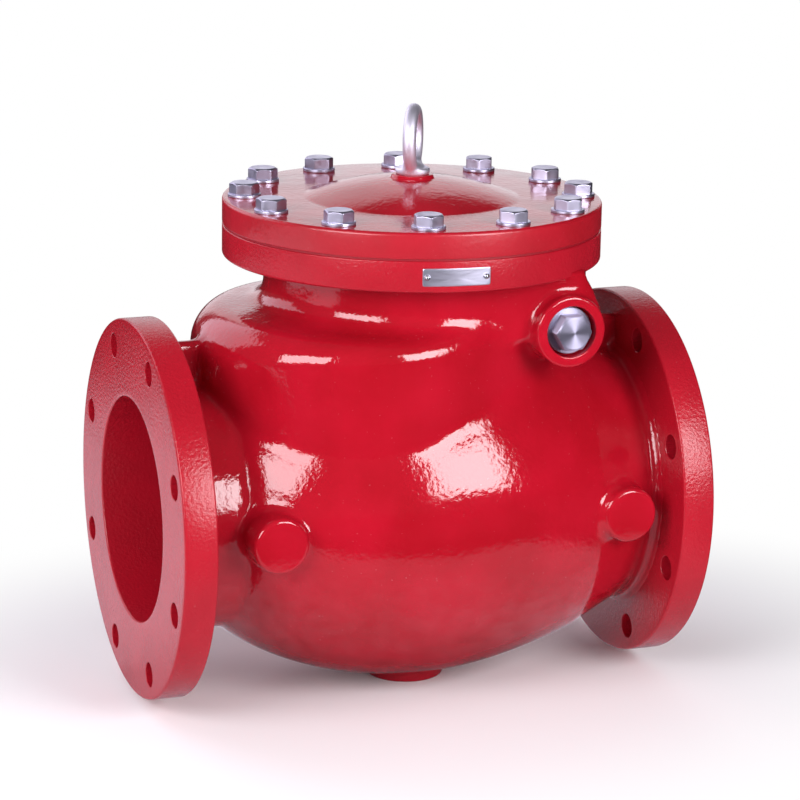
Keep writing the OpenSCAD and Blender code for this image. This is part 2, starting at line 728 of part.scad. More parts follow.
// Screwed plug that closes a hinge bore.
module pin_plug()
    translate([hinge_x, plug_seat_y + plug_gasket_t, hinge_z]) rotate([-90, 0, 0]) {
        rotate_extrude()
            polygon([[0, -plug_l], [plug_r - fine_edge, -plug_l], [plug_r, fine_edge - plug_l], [plug_r, 0],
                [plug_collar_d / 2 - crisp_edge, 0], [plug_collar_d / 2, crisp_edge],
                [plug_collar_d / 2, plug_collar_t - fine_edge],
                [plug_collar_d / 2 - fine_edge, plug_collar_t], [0, plug_collar_t]]);
        translate([0, 0, plug_collar_t]) hex_head(plug_af, plug_hex_h);
    }

module pin_plug_front() color(zinc) place() mirror([0, 1, 0]) pin_plug();

module pin_plug_rear() color(zinc) place() pin_plug();

module plug_gasket()
    translate([hinge_x, 0, hinge_z]) rotate([-90, 0, 0])
        tube(plug_collar_d / 2 - fine_edge, plug_r + fixed_fit, plug_seat_y, plug_seat_y + plug_gasket_t);

module plug_gasket_front() color(bronze) place() mirror([0, 1, 0]) plug_gasket();

module plug_gasket_rear() color(bronze) place() plug_gasket();

module thrust_washers()
    color(bronze) place() both_sides() translate([hinge_x, 0, hinge_z]) rotate([-90, 0, 0])
        tube(hub_r, pin_r + run_fit, hub_half_l + face_gap, hub_half_l + face_gap + thrust_t);

// Bar of the arm: its side view, cut to the taper of its front view.
module arm_bar() {
    bar_back = eye_back + stop_pad_h;
    intersection() {
        rotate([90, 0, 0]) linear_extrude(2 * arm_half_w, center = true)
            polygon([[bar_width, -bar_top_drop], [eye_front, -bar_bend_drop], [eye_front, -swing_l],
                [bar_back, -swing_l], [bar_back, -stop_l - stop_half_l - stop_pad_h],
                [eye_back, -stop_l - stop_half_l], [eye_back, -stop_l + stop_half_l],
                [bar_back, -stop_l + stop_half_l + stop_pad_h], [-bar_width, -bar_top_drop]]);
        rotate([90, 0, 90]) linear_extrude(2 * face_to_face, center = true)
            polygon([[-arm_half_w, 0], [arm_half_w, 0], [arm_tip_half_w, -swing_l],
                [-arm_tip_half_w, -swing_l]]);
    }
}

// Arm: hub on the hinge pin, a tapered bar with a flat stop pad, and the eye for the clapper's stem.
module clapper_arm()
    color(iron) place() at_hinge() difference() {
        union() {
            rotate([90, 0, 0]) cylinder(r = hub_r, h = 2 * hub_half_l, center = true);
            arm_bar();
            on_disc_axis(eye_back) cylinder(r = arm_eye_r, h = arm_eye_t);
        }
        rotate([90, 0, 0]) cylinder(r = pin_r + fixed_fit, h = 3 * hub_half_l, center = true);
        on_disc_axis(eye_back - past) cylinder(r = stem_r + run_fit, h = arm_eye_t + 2 * past);
        dowel_places() cylinder(r = dowel_d / 2 + fixed_fit, h = 3 * hub_r, center = true);
    }

module arm_dowels()
    color(steel) place() at_hinge() dowel_places()
        cylinder(d = dowel_d, h = 2 * hub_r - 2 * fine_edge, center = true);

// Clapper: a ribbed plate with a raised middle for the retainer, a rim round the seal and a stem.
module clapper_disc()
    color(iron) place() at_hinge() on_disc_axis() difference() {
        union() {
            rotate_extrude()
                polygon([[0, stem_end], [stem_r - fine_edge, stem_end], [stem_r, stem_end + fine_edge],
                    [stem_r, boss_back], [disc_boss_r - fine_edge, boss_back],
                    [disc_boss_r, boss_back + fine_edge],
                    [disc_boss_r + disc_boss_h / 2, disc_back], [disc_r - edge, disc_back],
                    [disc_r, disc_back + edge], [disc_r, seal_back + rim_h],
                    [seat_r + fixed_fit, seal_back + rim_h], [seat_r + fixed_fit, seal_back],
                    [seal_in_r - fixed_fit, seal_back], [seal_in_r - fixed_fit, seal_front],
                    [0, seal_front]]);
            for (i = [0:disc_ribs - 1]) rotate([0, 0, (i + 0.5) * 360 / disc_ribs])
                rotate([90, 0, 0]) translate([0, 0, -disc_rib_t / 2]) linear_extrude(disc_rib_t)
                    polygon([[stem_r, disc_rib_low], [disc_boss_r, disc_rib_low],
                        [disc_rib_end_r, disc_back - fine_edge], [disc_rib_end_r, disc_back + past],
                        [stem_r, disc_back + past]]);
        }
        retainer_screw_places() translate([0, 0, -screw_l - tap_extra + retainer_t])
            cylinder(r = screw_d / 2 + fixed_fit, h = screw_l + tap_extra);
        translate([0, 0, split_pin_x]) rotate([90, 0, 0])
            cylinder(r = split_pin_d / 2 + fixed_fit, h = 2 * stem_d, center = true);
    }

// Places of the retainer screws, on the face between the clapper and its retainer.
module retainer_screw_places()
    for (i = [0:screw_count - 1])
        rotate([0, 0, (i + 0.5) * 360 / screw_count]) translate([screw_r, 0, seal_front]) children();

module clapper_seal()
    color(rubber) place() at_hinge() on_disc_axis() tube(seat_r, seal_in_r, seal_back, seal_front);

module seal_retainer()
    color(bronze) place() at_hinge() on_disc_axis() difference() {
        rotate_extrude()
            polygon([[0, seal_front], [retainer_r, seal_front],
                [retainer_r, seal_front + retainer_t - fine_edge],
                [retainer_r - fine_edge, seal_front + retainer_t], [0, seal_front + retainer_t]]);
        retainer_screw_places() translate([0, 0, -past])
            cylinder(r = screw_d / 2 + fixed_fit, h = retainer_t + 2 * past);
    }

module retainer_screws()
    color(steel) place() at_hinge() on_disc_axis() retainer_screw_places() translate([0, 0, retainer_t]) {
        hex_head(screw_af, screw_head_h);
        translate([0, 0, -screw_l]) cylinder(d = screw_d, h = screw_l + past);
    }

module clapper_washer()
    color(steel) place() at_hinge() on_disc_axis()
        tube(clapper_washer_d / 2, stem_r + fixed_fit, nut_front, nut_front + clapper_washer_t);

// Slotted nut on the clapper's stem; the crown points to the outlet.
module clapper_nut()
    color(steel) place() at_hinge() on_disc_axis(nut_front) mirror([0, 0, 1]) difference() {
        union() {
            cylinder(d = nut_af * 2 / sqrt(3), h = nut_h, $fn = 6);
            cylinder(r = nut_af / 2 - fine_edge, h = nut_h + crown_h);
        }
        translate([0, 0, -past]) cylinder(r = stem_r + fixed_fit, h = nut_h + crown_h + 2 * past);
        for (i = [0:2]) rotate([0, 0, (i + 0.5) * 60])
            translate([-nut_af, -split_pin_d / 2 - crisp_edge, nut_h])
                cube([2 * nut_af, split_pin_d + 2 * crisp_edge, crown_h + past]);
    }

// Split pin through the stem and the nut's slots, with its eye outside the crown.
module split_pin() {
    reach = nut_af / 2 + stem_past;
    wire_d = split_pin_d * 0.6;
    color(steel) place() at_hinge() on_disc_axis(split_pin_x) {
        rotate([90, 0, 0]) cylinder(d = split_pin_d, h = 2 * reach, center = true);
        translate([0, reach + split_pin_d / 2, 0]) rotate([0, 90, 0]) rotate_extrude()
            translate([wire_d, 0]) circle(d = wire_d, $fn = 24);
    }
}

// Blank plate bent round the bonnet rim.
module tag_plate()
    color("gainsboro") place() difference() {
        translate([bonnet_x, 0, tag_z]) rotate([0, 0, tag_angle]) intersection() {
            tube(bonnet_r + tag_t, bonnet_r, -tag_h / 2, tag_h / 2);
            translate([-tag_w / 2, -2 * bonnet_r, -tag_h]) cube([tag_w, 2 * bonnet_r, 2 * tag_h]);
        }
        rivet_places() translate([0, 0, -past]) cylinder(d = rivet_d + 2 * fixed_fit, h = tag_t + 2 * past);
    }

module tag_rivets()
    color(zinc) place() rivet_places() rotate_extrude()
        polygon(concat([[0, -rivet_l], [rivet_d / 2, -rivet_l], [rivet_d / 2, tag_t], [rivet_head_r, tag_t]],
            arc(0, tag_t, rivet_head_r, 0, 90, 5)));

body();
seat_ring();
cover();
cover_gasket();
cover_bolts();
cover_washers();
lifting_eye();
hinge_pin();
pin_bush_front();
pin_bush_rear();
pin_plug_front();
pin_plug_rear();
plug_gasket_front();
plug_gasket_rear();
thrust_washers();
clapper_arm();
arm_dowels();
clapper_disc();
clapper_seal();
seal_retainer();
retainer_screws();
clapper_washer();
clapper_nut();
split_pin();
tag_plate();
tag_rivets();
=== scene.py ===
# %% [markdown]
# # A flanged swing non-return valve
# The real object is a heavy iron casting in thick red enamel: a fat bulb between two pipe flanges, an
# upright barrel that the clapper swings up into, and a round bolted cover with a lifting eye. The packed
# model gives every bolt, pin and clapper its exact place, so it is loaded first and never moved.

# %% Load the frame
import json
import math

import bmesh
import bpy
import numpy as np
from mathutils import Matrix, Vector


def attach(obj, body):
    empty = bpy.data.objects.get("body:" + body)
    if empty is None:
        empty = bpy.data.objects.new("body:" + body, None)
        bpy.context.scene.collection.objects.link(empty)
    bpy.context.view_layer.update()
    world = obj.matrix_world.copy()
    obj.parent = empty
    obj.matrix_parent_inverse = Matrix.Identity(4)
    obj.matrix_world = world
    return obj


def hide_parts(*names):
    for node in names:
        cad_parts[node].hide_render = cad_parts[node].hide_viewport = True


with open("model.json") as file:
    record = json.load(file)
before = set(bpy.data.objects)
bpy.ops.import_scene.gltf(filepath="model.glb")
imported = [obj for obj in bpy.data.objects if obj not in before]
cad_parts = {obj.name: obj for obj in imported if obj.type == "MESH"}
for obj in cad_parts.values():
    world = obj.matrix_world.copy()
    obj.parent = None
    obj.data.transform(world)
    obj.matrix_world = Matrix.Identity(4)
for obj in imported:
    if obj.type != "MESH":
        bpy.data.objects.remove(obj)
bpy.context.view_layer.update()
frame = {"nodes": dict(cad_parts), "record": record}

# %% [markdown]
# ## One way of measuring
# Castings are drawn from their middle, in millimetres, so the shapes below use the valve's middle as their
# zero: X runs along the pipe to the inlet, the viewer is on the side of -Y, and Z is up. One function turns
# those millimetres into the frame's metres, whose zero is on the inlet flange. The cover and the drain
# share an upright axis a little way towards the inlet.

# %% Millimetres to the frame
MM = 0.001
HALF_LENGTH = 247.65
BONNET_X, BONNET_R = 16.0, 171.5


def to_frame(points):
    """Valve millimetres to frame metres: move by half the length along X, then scale."""
    return (np.asarray(points, float) - (HALF_LENGTH, 0, 0)) * MM


print("the valve's middle lies at", to_frame((0, 0, 0)), "m")

# %% [markdown]
# ## From arrays to a piece
# Every new piece is an array of points and an array of four-cornered faces. Points that fall on each other,
# at a pole or along a seam, are merged afterwards, so a surface closes without special cases. The signed
# volume says whether the faces point outwards, and all of them are turned round if it is negative.

# %% Arrays to a mesh object
def volume(points, faces):
    """Signed volume inside closed faces: the sum over triangles of a . (b x c) / 6."""
    a, b, c, d = (points[faces[:, i]] for i in range(4))
    return ((a * np.cross(b, c)).sum() + (a * np.cross(c, d)).sum()) / 6


def make_piece(name, points, faces, material, slot, body="root", replaces=(), sharp=35, merge=0.002):
    """A finished piece at the origin that rides on its body. Edges sharper than the angle in degrees stay
    crisp, and points nearer than merge millimetres become one."""
    faces = np.asarray(faces)
    if volume(points, faces) < 0:
        faces = faces[:, ::-1]
    mesh = bpy.data.meshes.new(name)
    mesh.from_pydata(to_frame(points).tolist(), [], faces.tolist())
    shell = bmesh.new()
    shell.from_mesh(mesh)
    bmesh.ops.remove_doubles(shell, verts=shell.verts, dist=merge * MM)
    shell.to_mesh(mesh)
    shell.free()
    mesh.shade_smooth()
    mesh.set_sharp_from_angle(angle=math.radians(sharp))
    mesh.materials.append(material)
    piece = bpy.data.objects.new(name, mesh)
    bpy.context.scene.collection.objects.link(piece)
    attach(piece, body)
    if replaces:
        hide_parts(*replaces)
    print(f"{name}: {len(mesh.vertices)} points, {len(mesh.polygons)} faces")


cube_corner = np.array([[0, 0, 0], [1, 0, 0], [0, 1, 0], [0, 0, 1.0]])
corner_sides = np.array([[0, 2, 1, 1], [0, 1, 3, 3], [0, 3, 2, 2], [1, 2, 3, 3]])
print(f"volume of a corner cut from a unit cube: {volume(cube_corner, corner_sides):.4f}")

# %% [markdown]
# ## Colours and a node helper
# Colours are written as the hex values that a screen shows. Blender mixes light in linear values, so one
# function turns them. One more function adds a node with its settings and its links, and bumps of a real
# size are a noise and a bump node together, because every finish here needs them.

# %% Colour and node helpers
def linear(code):
    """sRGB hex to linear: c / 12.92 near black, ((c + 0.055) / 1.055) ^ 2.4 above."""
    c = np.array([int(code[i:i + 2], 16) for i in (1, 3, 5)]) / 255
    return (*np.where(c <= 0.04045, c / 12.92, ((c + 0.055) / 1.055) ** 2.4), 1.0)


def add_node(tree, kind, links=None, **settings):
    """Adds a node. A setting names a property or, failing that, an input; links give input: output socket."""
    node = tree.nodes.new(kind)
    for key, value in settings.items():
        if hasattr(node, key):
            setattr(node, key, value)
        else:
            node.inputs[key.replace("_", " ")].default_value = value
    for key, socket in (links or {}).items():
        tree.links.new(node.inputs[key], socket)
    return node


def new_material(name, **shader):
    """A material with one Principled shader; returns it with its tree, shader and Object coordinates."""
    material = bpy.data.materials.new(name)
    material.use_nodes = True
    tree = material.node_tree
    tree.nodes.clear()
    principled = add_node(tree, "ShaderNodeBsdfPrincipled", **shader)
    add_node(tree, "ShaderNodeOutputMaterial", {"Surface": principled.outputs[0]})
    place = add_node(tree, "ShaderNodeTexCoord").outputs["Object"]
    return material, tree, principled, place


def add_bump(tree, place, normal, size_mm, depth_mm, detail=2.0, roughness=0.5, strength=1.0):
    """Noise bumps of a real size: the noise repeats about once per size_mm and rises depth_mm."""
    noise = add_node(tree, "ShaderNodeTexNoise", {"Vector": place},
                     Scale=1 / (size_mm * MM), Detail=detail, Roughness=roughness)
    links = {"Height": noise.outputs["Fac"]}
    if normal:
        links["Normal"] = normal
    return add_node(tree, "ShaderNodeBump", links, Strength=strength, Distance=depth_mm * MM).outputs[0]


print("a screen's middle grey is", round(linear("#808080")[0], 3), "in linear light")

# %% [markdown]
# ## The red enamel
# The casting is sand-rough iron under thick, glossy red paint that was baked on. The paint fills the grain
# and leaves soft pillows a few millimetres wide, which break up the edges of every highlight, over slower
# waves from the mould. It is a plain dielectric of very low roughness, so the lights mirror in it sharply,
# as in something wet. Where the iron was turned before painting the paint is thin and dull: rougher, with
# smaller and deeper pillows. The cover is glossy on top and dull round its rim, by the distance from its
# axis.

# %% Red enamel
RED, DEEP_RED, DUST = "#a51022", "#980d1b", "#d9aeb8"


def red_enamel(name, deep=DEEP_RED, pillow_mm=4.6, pillow_depth=0.34, wave_depth=0.6, roughness=0.07,
               ior=1.55):
    """Enamel over cast iron: two close reds in patches of 70 mm, faint specks of 2 mm, and pillows over waves
    as bump. Patches of 40 mm decide how strongly the pillows show."""
    material, tree, shader, place = new_material(name, Roughness=roughness, IOR=ior)
    patch = add_node(tree, "ShaderNodeTexNoise", {"Vector": place}, Scale=1 / (70 * MM), Detail=3.0)
    spread = add_node(tree, "ShaderNodeMapRange", {"Value": patch.outputs["Fac"]}, From_Min=0.35,
                      From_Max=0.65)
    reds = add_node(tree, "ShaderNodeMix", {"Factor": spread.outputs[0]}, data_type="RGBA")
    reds.inputs[6].default_value, reds.inputs[7].default_value = linear(RED), linear(deep)
    grit = add_node(tree, "ShaderNodeTexNoise", {"Vector": place}, Scale=1 / (2.2 * MM), Detail=1.0)
    speck = add_node(tree, "ShaderNodeMapRange", {"Value": grit.outputs["Fac"]}, From_Min=0.76, From_Max=0.80,
                     To_Max=0.12)
    dusty = add_node(tree, "ShaderNodeMix", {"Factor": speck.outputs[0], 6: reds.outputs[2]},
                     data_type="RGBA")
    dusty.inputs[7].default_value = linear(DUST)
    tree.links.new(shader.inputs["Base Color"], dusty.outputs[2])
    uneven = add_node(tree, "ShaderNodeTexNoise", {"Vector": place}, Scale=1 / (40 * MM), Detail=2.0)
    pillowed = add_node(tree, "ShaderNodeMapRange", {"Value": uneven.outputs["Fac"]}, From_Min=0.4,
                        From_Max=0.65, To_Min=0.6, To_Max=1.0)
    waves = add_bump(tree, place, None, 34, wave_depth, detail=1.0)
    normal = add_bump(tree, place, waves, pillow_mm, pillow_depth, detail=3.0)
    tree.links.new(normal.node.inputs["Strength"], pillowed.outputs[0])
    tree.links.new(shader.inputs["Normal"], normal)
    return material, tree, shader, place


enamel, *_ = red_enamel("red_enamel_over_cast_iron")
faced_enamel, *_ = red_enamel("red_enamel_over_turned_iron", "#9a0f1f", pillow_mm=2.8, pillow_depth=0.6,
                              wave_depth=0.15, roughness=0.27, ior=1.42)
cover_enamel, tree, shader, place = red_enamel("red_enamel_on_the_cover")
centred = add_node(tree, "ShaderNodeMapping", {"Vector": place})
centred.inputs["Location"].default_value = -to_frame((BONNET_X, 0, 0))
centred.inputs["Scale"].default_value = (1, 1, 0)
off_axis = add_node(tree, "ShaderNodeVectorMath", {"Vector": centred.outputs[0]}, operation="LENGTH")
rim = add_node(tree, "ShaderNodeMapRange", {"Value": off_axis.outputs["Value"]}, From_Min=(BONNET_R - 2) * MM,
               From_Max=(BONNET_R - 0.7) * MM, To_Min=0.09, To_Max=0.30)
tree.links.new(shader.inputs["Roughness"], rim.outputs[0])
print("materials:", enamel.name, faced_enamel.name, cover_enamel.name)

# %% [markdown]
# ## Round pieces from a profile
# Most of the valve is turned or moulded round an axis, so most pieces are a profile carried round a circle.
# Paint and casting leave no knife edges: a profile is written as corners with a rounding each, in
# millimetres, and the helper draws the arcs.

# %% Profiles and turned surfaces
def rounded(corners, steps=5, closed=True):
    """Corners (radius, height, rounding) to a profile.
    An arc touches both sides at rounding / tan(half the corner's angle) and turns about the bisector."""
    corners = np.asarray(corners, float)
    p, r = corners[:, :2], corners[:, 2:]
    before, after = np.roll(p, 1, 0) - p, np.roll(p, -1, 0) - p
    before /= np.linalg.norm(before, axis=1, keepdims=True)
    after /= np.linalg.norm(after, axis=1, keepdims=True)
    half = np.arccos(np.clip((before * after).sum(1, keepdims=True), -1, 1)) / 2
    middle = before + after
    middle /= np.maximum(np.linalg.norm(middle, axis=1, keepdims=True), 1e-9)
    centre = p + middle * r / np.sin(half)
    start, end = p + before * r / np.tan(half) - centre, p + after * r / np.tan(half) - centre
    sweep = (np.pi - 2 * half)[:, None]
    w = np.linspace(0, 1, steps + 1)[None, :, None]
    arc = np.sin((1 - w) * sweep) * start[:, None] + np.sin(w * sweep) * end[:, None]
    arc /= np.maximum(np.sin(sweep), 1e-9)
    points = np.where(r[:, None] > 0, centre[:, None] + arc, p[:, None]).reshape(-1, 2)
    if not closed:
        points = points[steps:len(points) - steps]
    return points[np.append(True, np.linalg.norm(np.diff(points, axis=0), axis=1) > 1e-6)]


def grid_faces(rows, columns, close_rows=False, close_columns=False):
    """Four-cornered faces of a grid of points, numbered row by row."""
    i = np.arange(rows if close_rows else rows - 1)[:, None]
    j = np.arange(columns if close_columns else columns - 1)[None, :]
    below, right = (i + 1) % rows, (j + 1) % columns
    return np.stack([i * columns + j, i * columns + right, below * columns + right, below * columns + j],
                    -1).reshape(-1, 4)


# For each axis, where the first and second direction across it and the direction along it point
AXES = {"x": np.array([[0, 1, 0], [0, 0, 1], [1, 0, 0.0]]),
        "y": np.array([[0, 0, 1], [1, 0, 0], [0, 1, 0.0]]),
        "z": np.array([[1, 0, 0], [0, 1, 0], [0, 0, 1.0]])}


def turned(profile, axis="z", centre=(0, 0, 0), steps=192, closed=True):
    """Profile (r, s) round an axis: centre + r (cos a, sin a) across the axis + s along it."""
    a = np.linspace(0, 2 * np.pi, steps, endpoint=False)[None, :]
    r, s = profile[:, :1], profile[:, 1:]
    flat = np.stack(np.broadcast_arrays(r * np.cos(a), r * np.sin(a), s), -1).reshape(-1, 3)
    return flat @ AXES[axis] + centre, grid_faces(len(profile), steps, closed, True)


def joined(*surfaces):
    """Several (points, faces) as one pair of arrays; the faces are renumbered."""
    starts = np.cumsum([0] + [len(points) for points, _ in surfaces[:-1]])
    return (np.concatenate([points for points, _ in surfaces]),
            np.concatenate([faces + start for (_, faces), start in zip(surfaces, starts)]))


square = rounded([(9, 0, 2), (9, 9, 2), (0, 9, 2), (0, 0, 2)])
print("a square with rounded corners has", len(square), "points")

# %% [markdown]
# ## The body casting as distance fields
# A moulder builds the pattern from simple solids and softens each inner corner with a fillet, so that the
# iron flows and doesn't crack. A distance field says the same in numbers: it is negative in the iron and
# positive outside, two solids join where the smaller value is taken, and a rounded minimum leaves a fillet
# of a chosen size. That suits this body better than patching surfaces together, because every corner gets
# its fillet. The barrel ends in a nearly flat shoulder, whose rounding is wide towards the outlet and
# narrow at the sides.

# %% Distances for the pattern
def soft_min(a, b, fillet):
    """Joins two fields with a fillet: the minimum, less h^2 * fillet / 4 with h = 1 - |a - b| / fillet."""
    h = np.maximum(1 - np.abs(a - b) / fillet, 0)
    return np.minimum(a, b) - h * h * fillet / 4


def rod(radius_there, along, radius, low, high, edge=0.0):
    """A rod with its rounded ends: the distance to a box in (radius, height)."""
    q = np.stack([radius_there - radius + edge, np.abs(along - (low + high) / 2) - (high - low) / 2 + edge])
    return np.linalg.norm(np.maximum(q, 0), axis=0) + np.minimum(q.max(0), 0) - edge


def block(x, y, z, low, high, edge):
    """A box with rounded edges between two corners."""
    low, high = np.array(low, float), np.array(high, float)
    q = np.stack([np.abs(v - m) - h + edge for v, m, h in zip((x, y, z), (low + high) / 2, (high - low) / 2)])
    return np.linalg.norm(np.maximum(q, 0), axis=0) + np.minimum(q.max(0), 0) - edge


BARREL_R, BARREL_X, SHOULDER_Z, SHOULDER_SLOPE = 152.0, -34.0, 172.5, math.radians(6)
OUTLET_ROUND, SIDE_ROUND, INLET_LOSS = 38, 20, 25


def shouldered(x, y, z, inset):
    """An upright round body under a sloping shoulder: the larger of the distances to its side and its slope,
    and within the angle between their normals the distance to the rounding's centre less its radius. The
    rounding grows by the square of the cosine towards the outlet and shrinks by the cosine towards the inlet.
    The inner wall, inset from the outer one, is rounded less by its inset where there is room for it."""
    slope, r = SHOULDER_SLOPE, np.hypot(x - BARREL_X, y)
    outlet = (BARREL_X - x) / np.maximum(r, 1)
    widened = (OUTLET_ROUND - SIDE_ROUND) * outlet ** 2
    rounding = np.where(outlet > 0, widened, INLET_LOSS * outlet) + SIDE_ROUND
    rounding = np.maximum(rounding, SIDE_ROUND / 2) - inset * (rounding > inset + 4)
    corner = SHOULDER_Z - inset * (1 - math.sin(slope)) / math.cos(slope)
    a = r - (BARREL_R - inset - rounding)
    b = z - (corner - rounding * math.tan((math.pi / 2 - slope) / 2))
    flat = np.maximum(a, a * math.sin(slope) + b * math.cos(slope)) - rounding
    return np.where((b > 0) & (a * math.cos(slope) > b * math.sin(slope)), np.hypot(a, b) - rounding, flat)


def egg(x, r, middle, half_length, radius):
    """An ellipse turned about the pipe: k0 (k0 - 1) / k1, from its scaled and its twice scaled distance."""
    k0 = np.hypot((x - middle) / half_length, r / radius)
    k1 = np.hypot((x - middle) / half_length ** 2, r / radius ** 2)
    return k0 * (k0 - 1) / np.maximum(k1, 1e-9)


print("where two fields are equal, a fillet of 8 mm adds", -soft_min(0.0, 0.0, 8), "mm of iron")

# %% [markdown]
# ## The pipe side in outline
# From the side the casting is an egg between two flanges. At the outlet a hollow arc leads from the egg
# into a straight neck. At the inlet there is hardly a neck: the egg runs on in one long curve to a rounded
# ridge, and from there in a slant to the flange. The outline is half of that side view, as radius against
# length, and it ends inside the flanges, so that no two surfaces lie on each other.

# %% Outline of the pipe side of the casting
PORT_R, NECK_R, FLANGE_R, FLANGE_T = 101.6, 112.2, 171.5, 30.0
BULB_R, BULB_LONG, BULB_X = 172.0, 243.0, 12.0
# Degrees along the egg, from the outlet, where the hollow and the long curve leave it
LEAVE, TAPER_FROM = 42, 92
NECK_FILLET, TAPER_FILLET, TAPER_R = 9, 8, 113.4
# The ridge as (radius, length), its slant and rounding, and how far the curve's handles reach
RIDGE, RIDGE_SLOPE, RIDGE_ROUND, HANDLE = np.array((145.5, 150.0)), 0.33, 30, 42


def bulb_point(t):
    """A point (radius, x) of the bulb's ellipse; t in degrees runs from the outlet to the inlet."""
    t = np.radians(t)
    return np.stack([BULB_R * np.sin(t), BULB_X - BULB_LONG * np.cos(t)], -1)


def bulb_normal(t):
    """Its outward normal: (sin t / width, -cos t / length), made one long."""
    n = np.array([np.sin(np.radians(t)) / BULB_R, -np.cos(np.radians(t)) / BULB_LONG])
    return n / np.linalg.norm(n)


def curve(p0, p1, p2, p3, steps=24):
    """Cubic Bezier: the four points weighted by (1-w)^3, 3w(1-w)^2, 3w^2(1-w) and w^3."""
    w = np.linspace(0, 1, steps + 1)[:, None]
    p0, p1, p2, p3 = (np.asarray(p, float) for p in (p0, p1, p2, p3))
    return (1 - w) ** 3 * p0 + 3 * w * (1 - w) ** 2 * p1 + 3 * w * w * (1 - w) * p2 + w ** 3 * p3


def arc(centre, radius, start, end, steps=10):
    """Points of an arc round a centre, from one angle to the other in degrees."""
    a = np.radians(np.linspace(start, end, steps + 1))
    return np.stack([centre[0] + radius * np.cos(a), centre[1] + radius * np.sin(a)], -1)


def bearing(v):
    """The direction of a flat arrow, in degrees."""
    return math.degrees(math.atan2(v[1], v[0]))


leave_n, leave_p, taper_p = bulb_normal(LEAVE), bulb_point(LEAVE), bulb_point(TAPER_FROM)
hollow_r = (leave_p[0] - NECK_R) / (1 - leave_n[0])
flange_back = HALF_LENGTH - FLANGE_T
taper_end = np.array([TAPER_R, flange_back])
taper = curve(taper_p, taper_p + (-1.0, HANDLE), RIDGE + (RIDGE_SLOPE * HANDLE, -HANDLE), RIDGE)[:-3]
taper_root = rounded([(*taper[-1], 0), (*RIDGE, RIDGE_ROUND), (*taper_end, TAPER_FILLET),
                      (TAPER_R + 24, flange_back, 0)], 8, False)[1:-1]
root_r = NECK_R + NECK_FILLET + 4
cut_x = HALF_LENGTH - 20
pipe_outline = np.concatenate([
    [[0, -cut_x], [root_r, -cut_x], [root_r, -flange_back - 0.4], [NECK_R + NECK_FILLET, -flange_back - 0.4]],
    arc((NECK_R + NECK_FILLET, -flange_back + NECK_FILLET), NECK_FILLET, 270, 180),
    arc((NECK_R + hollow_r, leave_p[1] + hollow_r * leave_n[1]), hollow_r, 180, bearing(-leave_n)),
    bulb_point(np.arange(LEAVE + 2, TAPER_FROM, 2)), taper, taper_root,
    [[taper_root[-1, 0] + 1, flange_back + 0.8], [taper_root[-1, 0] + 1, cut_x], [0, cut_x]]])
print(f"hollow radius {hollow_r:.1f} mm, taper from {taper_p[1]:.1f} mm")


# %% [markdown]
# The outline is a chain of short lines. Its distance is worked out once on a fine flat table of radius and
# length, and read back between the table's points for the whole volume, because the pipe side is round.

# %% Table of the outline's distance
def outline_distance(r, x, outline):
    """Distance to the nearest segment, negative inside, where a ray crosses the chain an odd number of
    times."""
    nearest, inside = np.full(r.shape, 1e9), np.zeros(r.shape, bool)
    for a, b in zip(outline, np.roll(outline, -1, 0)):
        d = b - a
        if not d.any():
            continue
        t = np.clip(((r - a[0]) * d[0] + (x - a[1]) * d[1]) / (d @ d), 0, 1)
        if a[0] > 0 or b[0] > 0:
            nearest = np.minimum(nearest, np.hypot(r - a[0] - t * d[0], x - a[1] - t * d[1]))
        if d[1]:
            inside ^= ((a[1] > x) != (b[1] > x)) & (r < a[0] + (x - a[1]) * d[0] / d[1])
    return np.where(inside, -nearest, nearest)


TABLE_STEP = 1.0
table_r = np.arange(0, 330, TABLE_STEP) + 1e-4
table_x = np.arange(-300, 301, TABLE_STEP) + 1e-4
pipe_table = outline_distance(*np.meshgrid(table_r, table_x, indexing="ij"), pipe_outline)


def pipe_side(x, r):
    """Reads the table between its points: the mean of four values, weighted by nearness."""
    i = np.clip((r - table_r[0]) / TABLE_STEP, 0, len(table_r) - 1.001)
    j = np.clip((x - table_x[0]) / TABLE_STEP, 0, len(table_x) - 1.001)
    i0, j0 = i.astype(int), j.astype(int)
    u, v = i - i0, j - j0
    return ((pipe_table[i0, j0] * (1 - u) + pipe_table[i0 + 1, j0] * u) * (1 - v)
            + (pipe_table[i0, j0 + 1] * (1 - u) + pipe_table[i0 + 1, j0 + 1] * u) * v)


print("table:", pipe_table.shape)

# %% [markdown]
# ## Outside and inside of the casting
# The barrel, the bonnet's neck, the hinge bosses with their webs, the ribs and the small bosses join the
# pipe side one after another. The inside is a smaller bulb and barrel with both ports, cut off by the
# bulkhead that carries the seat. The iron is what lies in the outside and not in the inside.

# %% Field of the body casting
BONNET_NECK_R, BONNET_UNDER, JOINT_Z = 134.0, 219.6, 247.2
HINGE_X, HINGE_Z, HINGE_BOSS_R, HINGE_BOSS_Y = 112.0, 173.0, 32.3, 150.0
WEB_Y, WEB_HALF, WEB_LEAN = 138.0, 36.0, math.radians(32)
# The webs' slanted side, seen from above: a point of it, its slope, and the cosine of that slope's angle
SLANT_X, SLANT_Y, SLANT, SLANT_COS = 58, 126, 0.36, 0.94
SPOT_R, SPOT_Y = 22.9, 137.0
SIDE_BOSSES, SIDE_BOSS_R, SIDE_BOSS_Y = (-154.5, 174.8), 25.0, 152.0
DRAIN_R, DRAIN_Z, RIB_TOP, RIB_HALF, WALL = 36.0, -179.5, 151.5, 7.0, 13.0
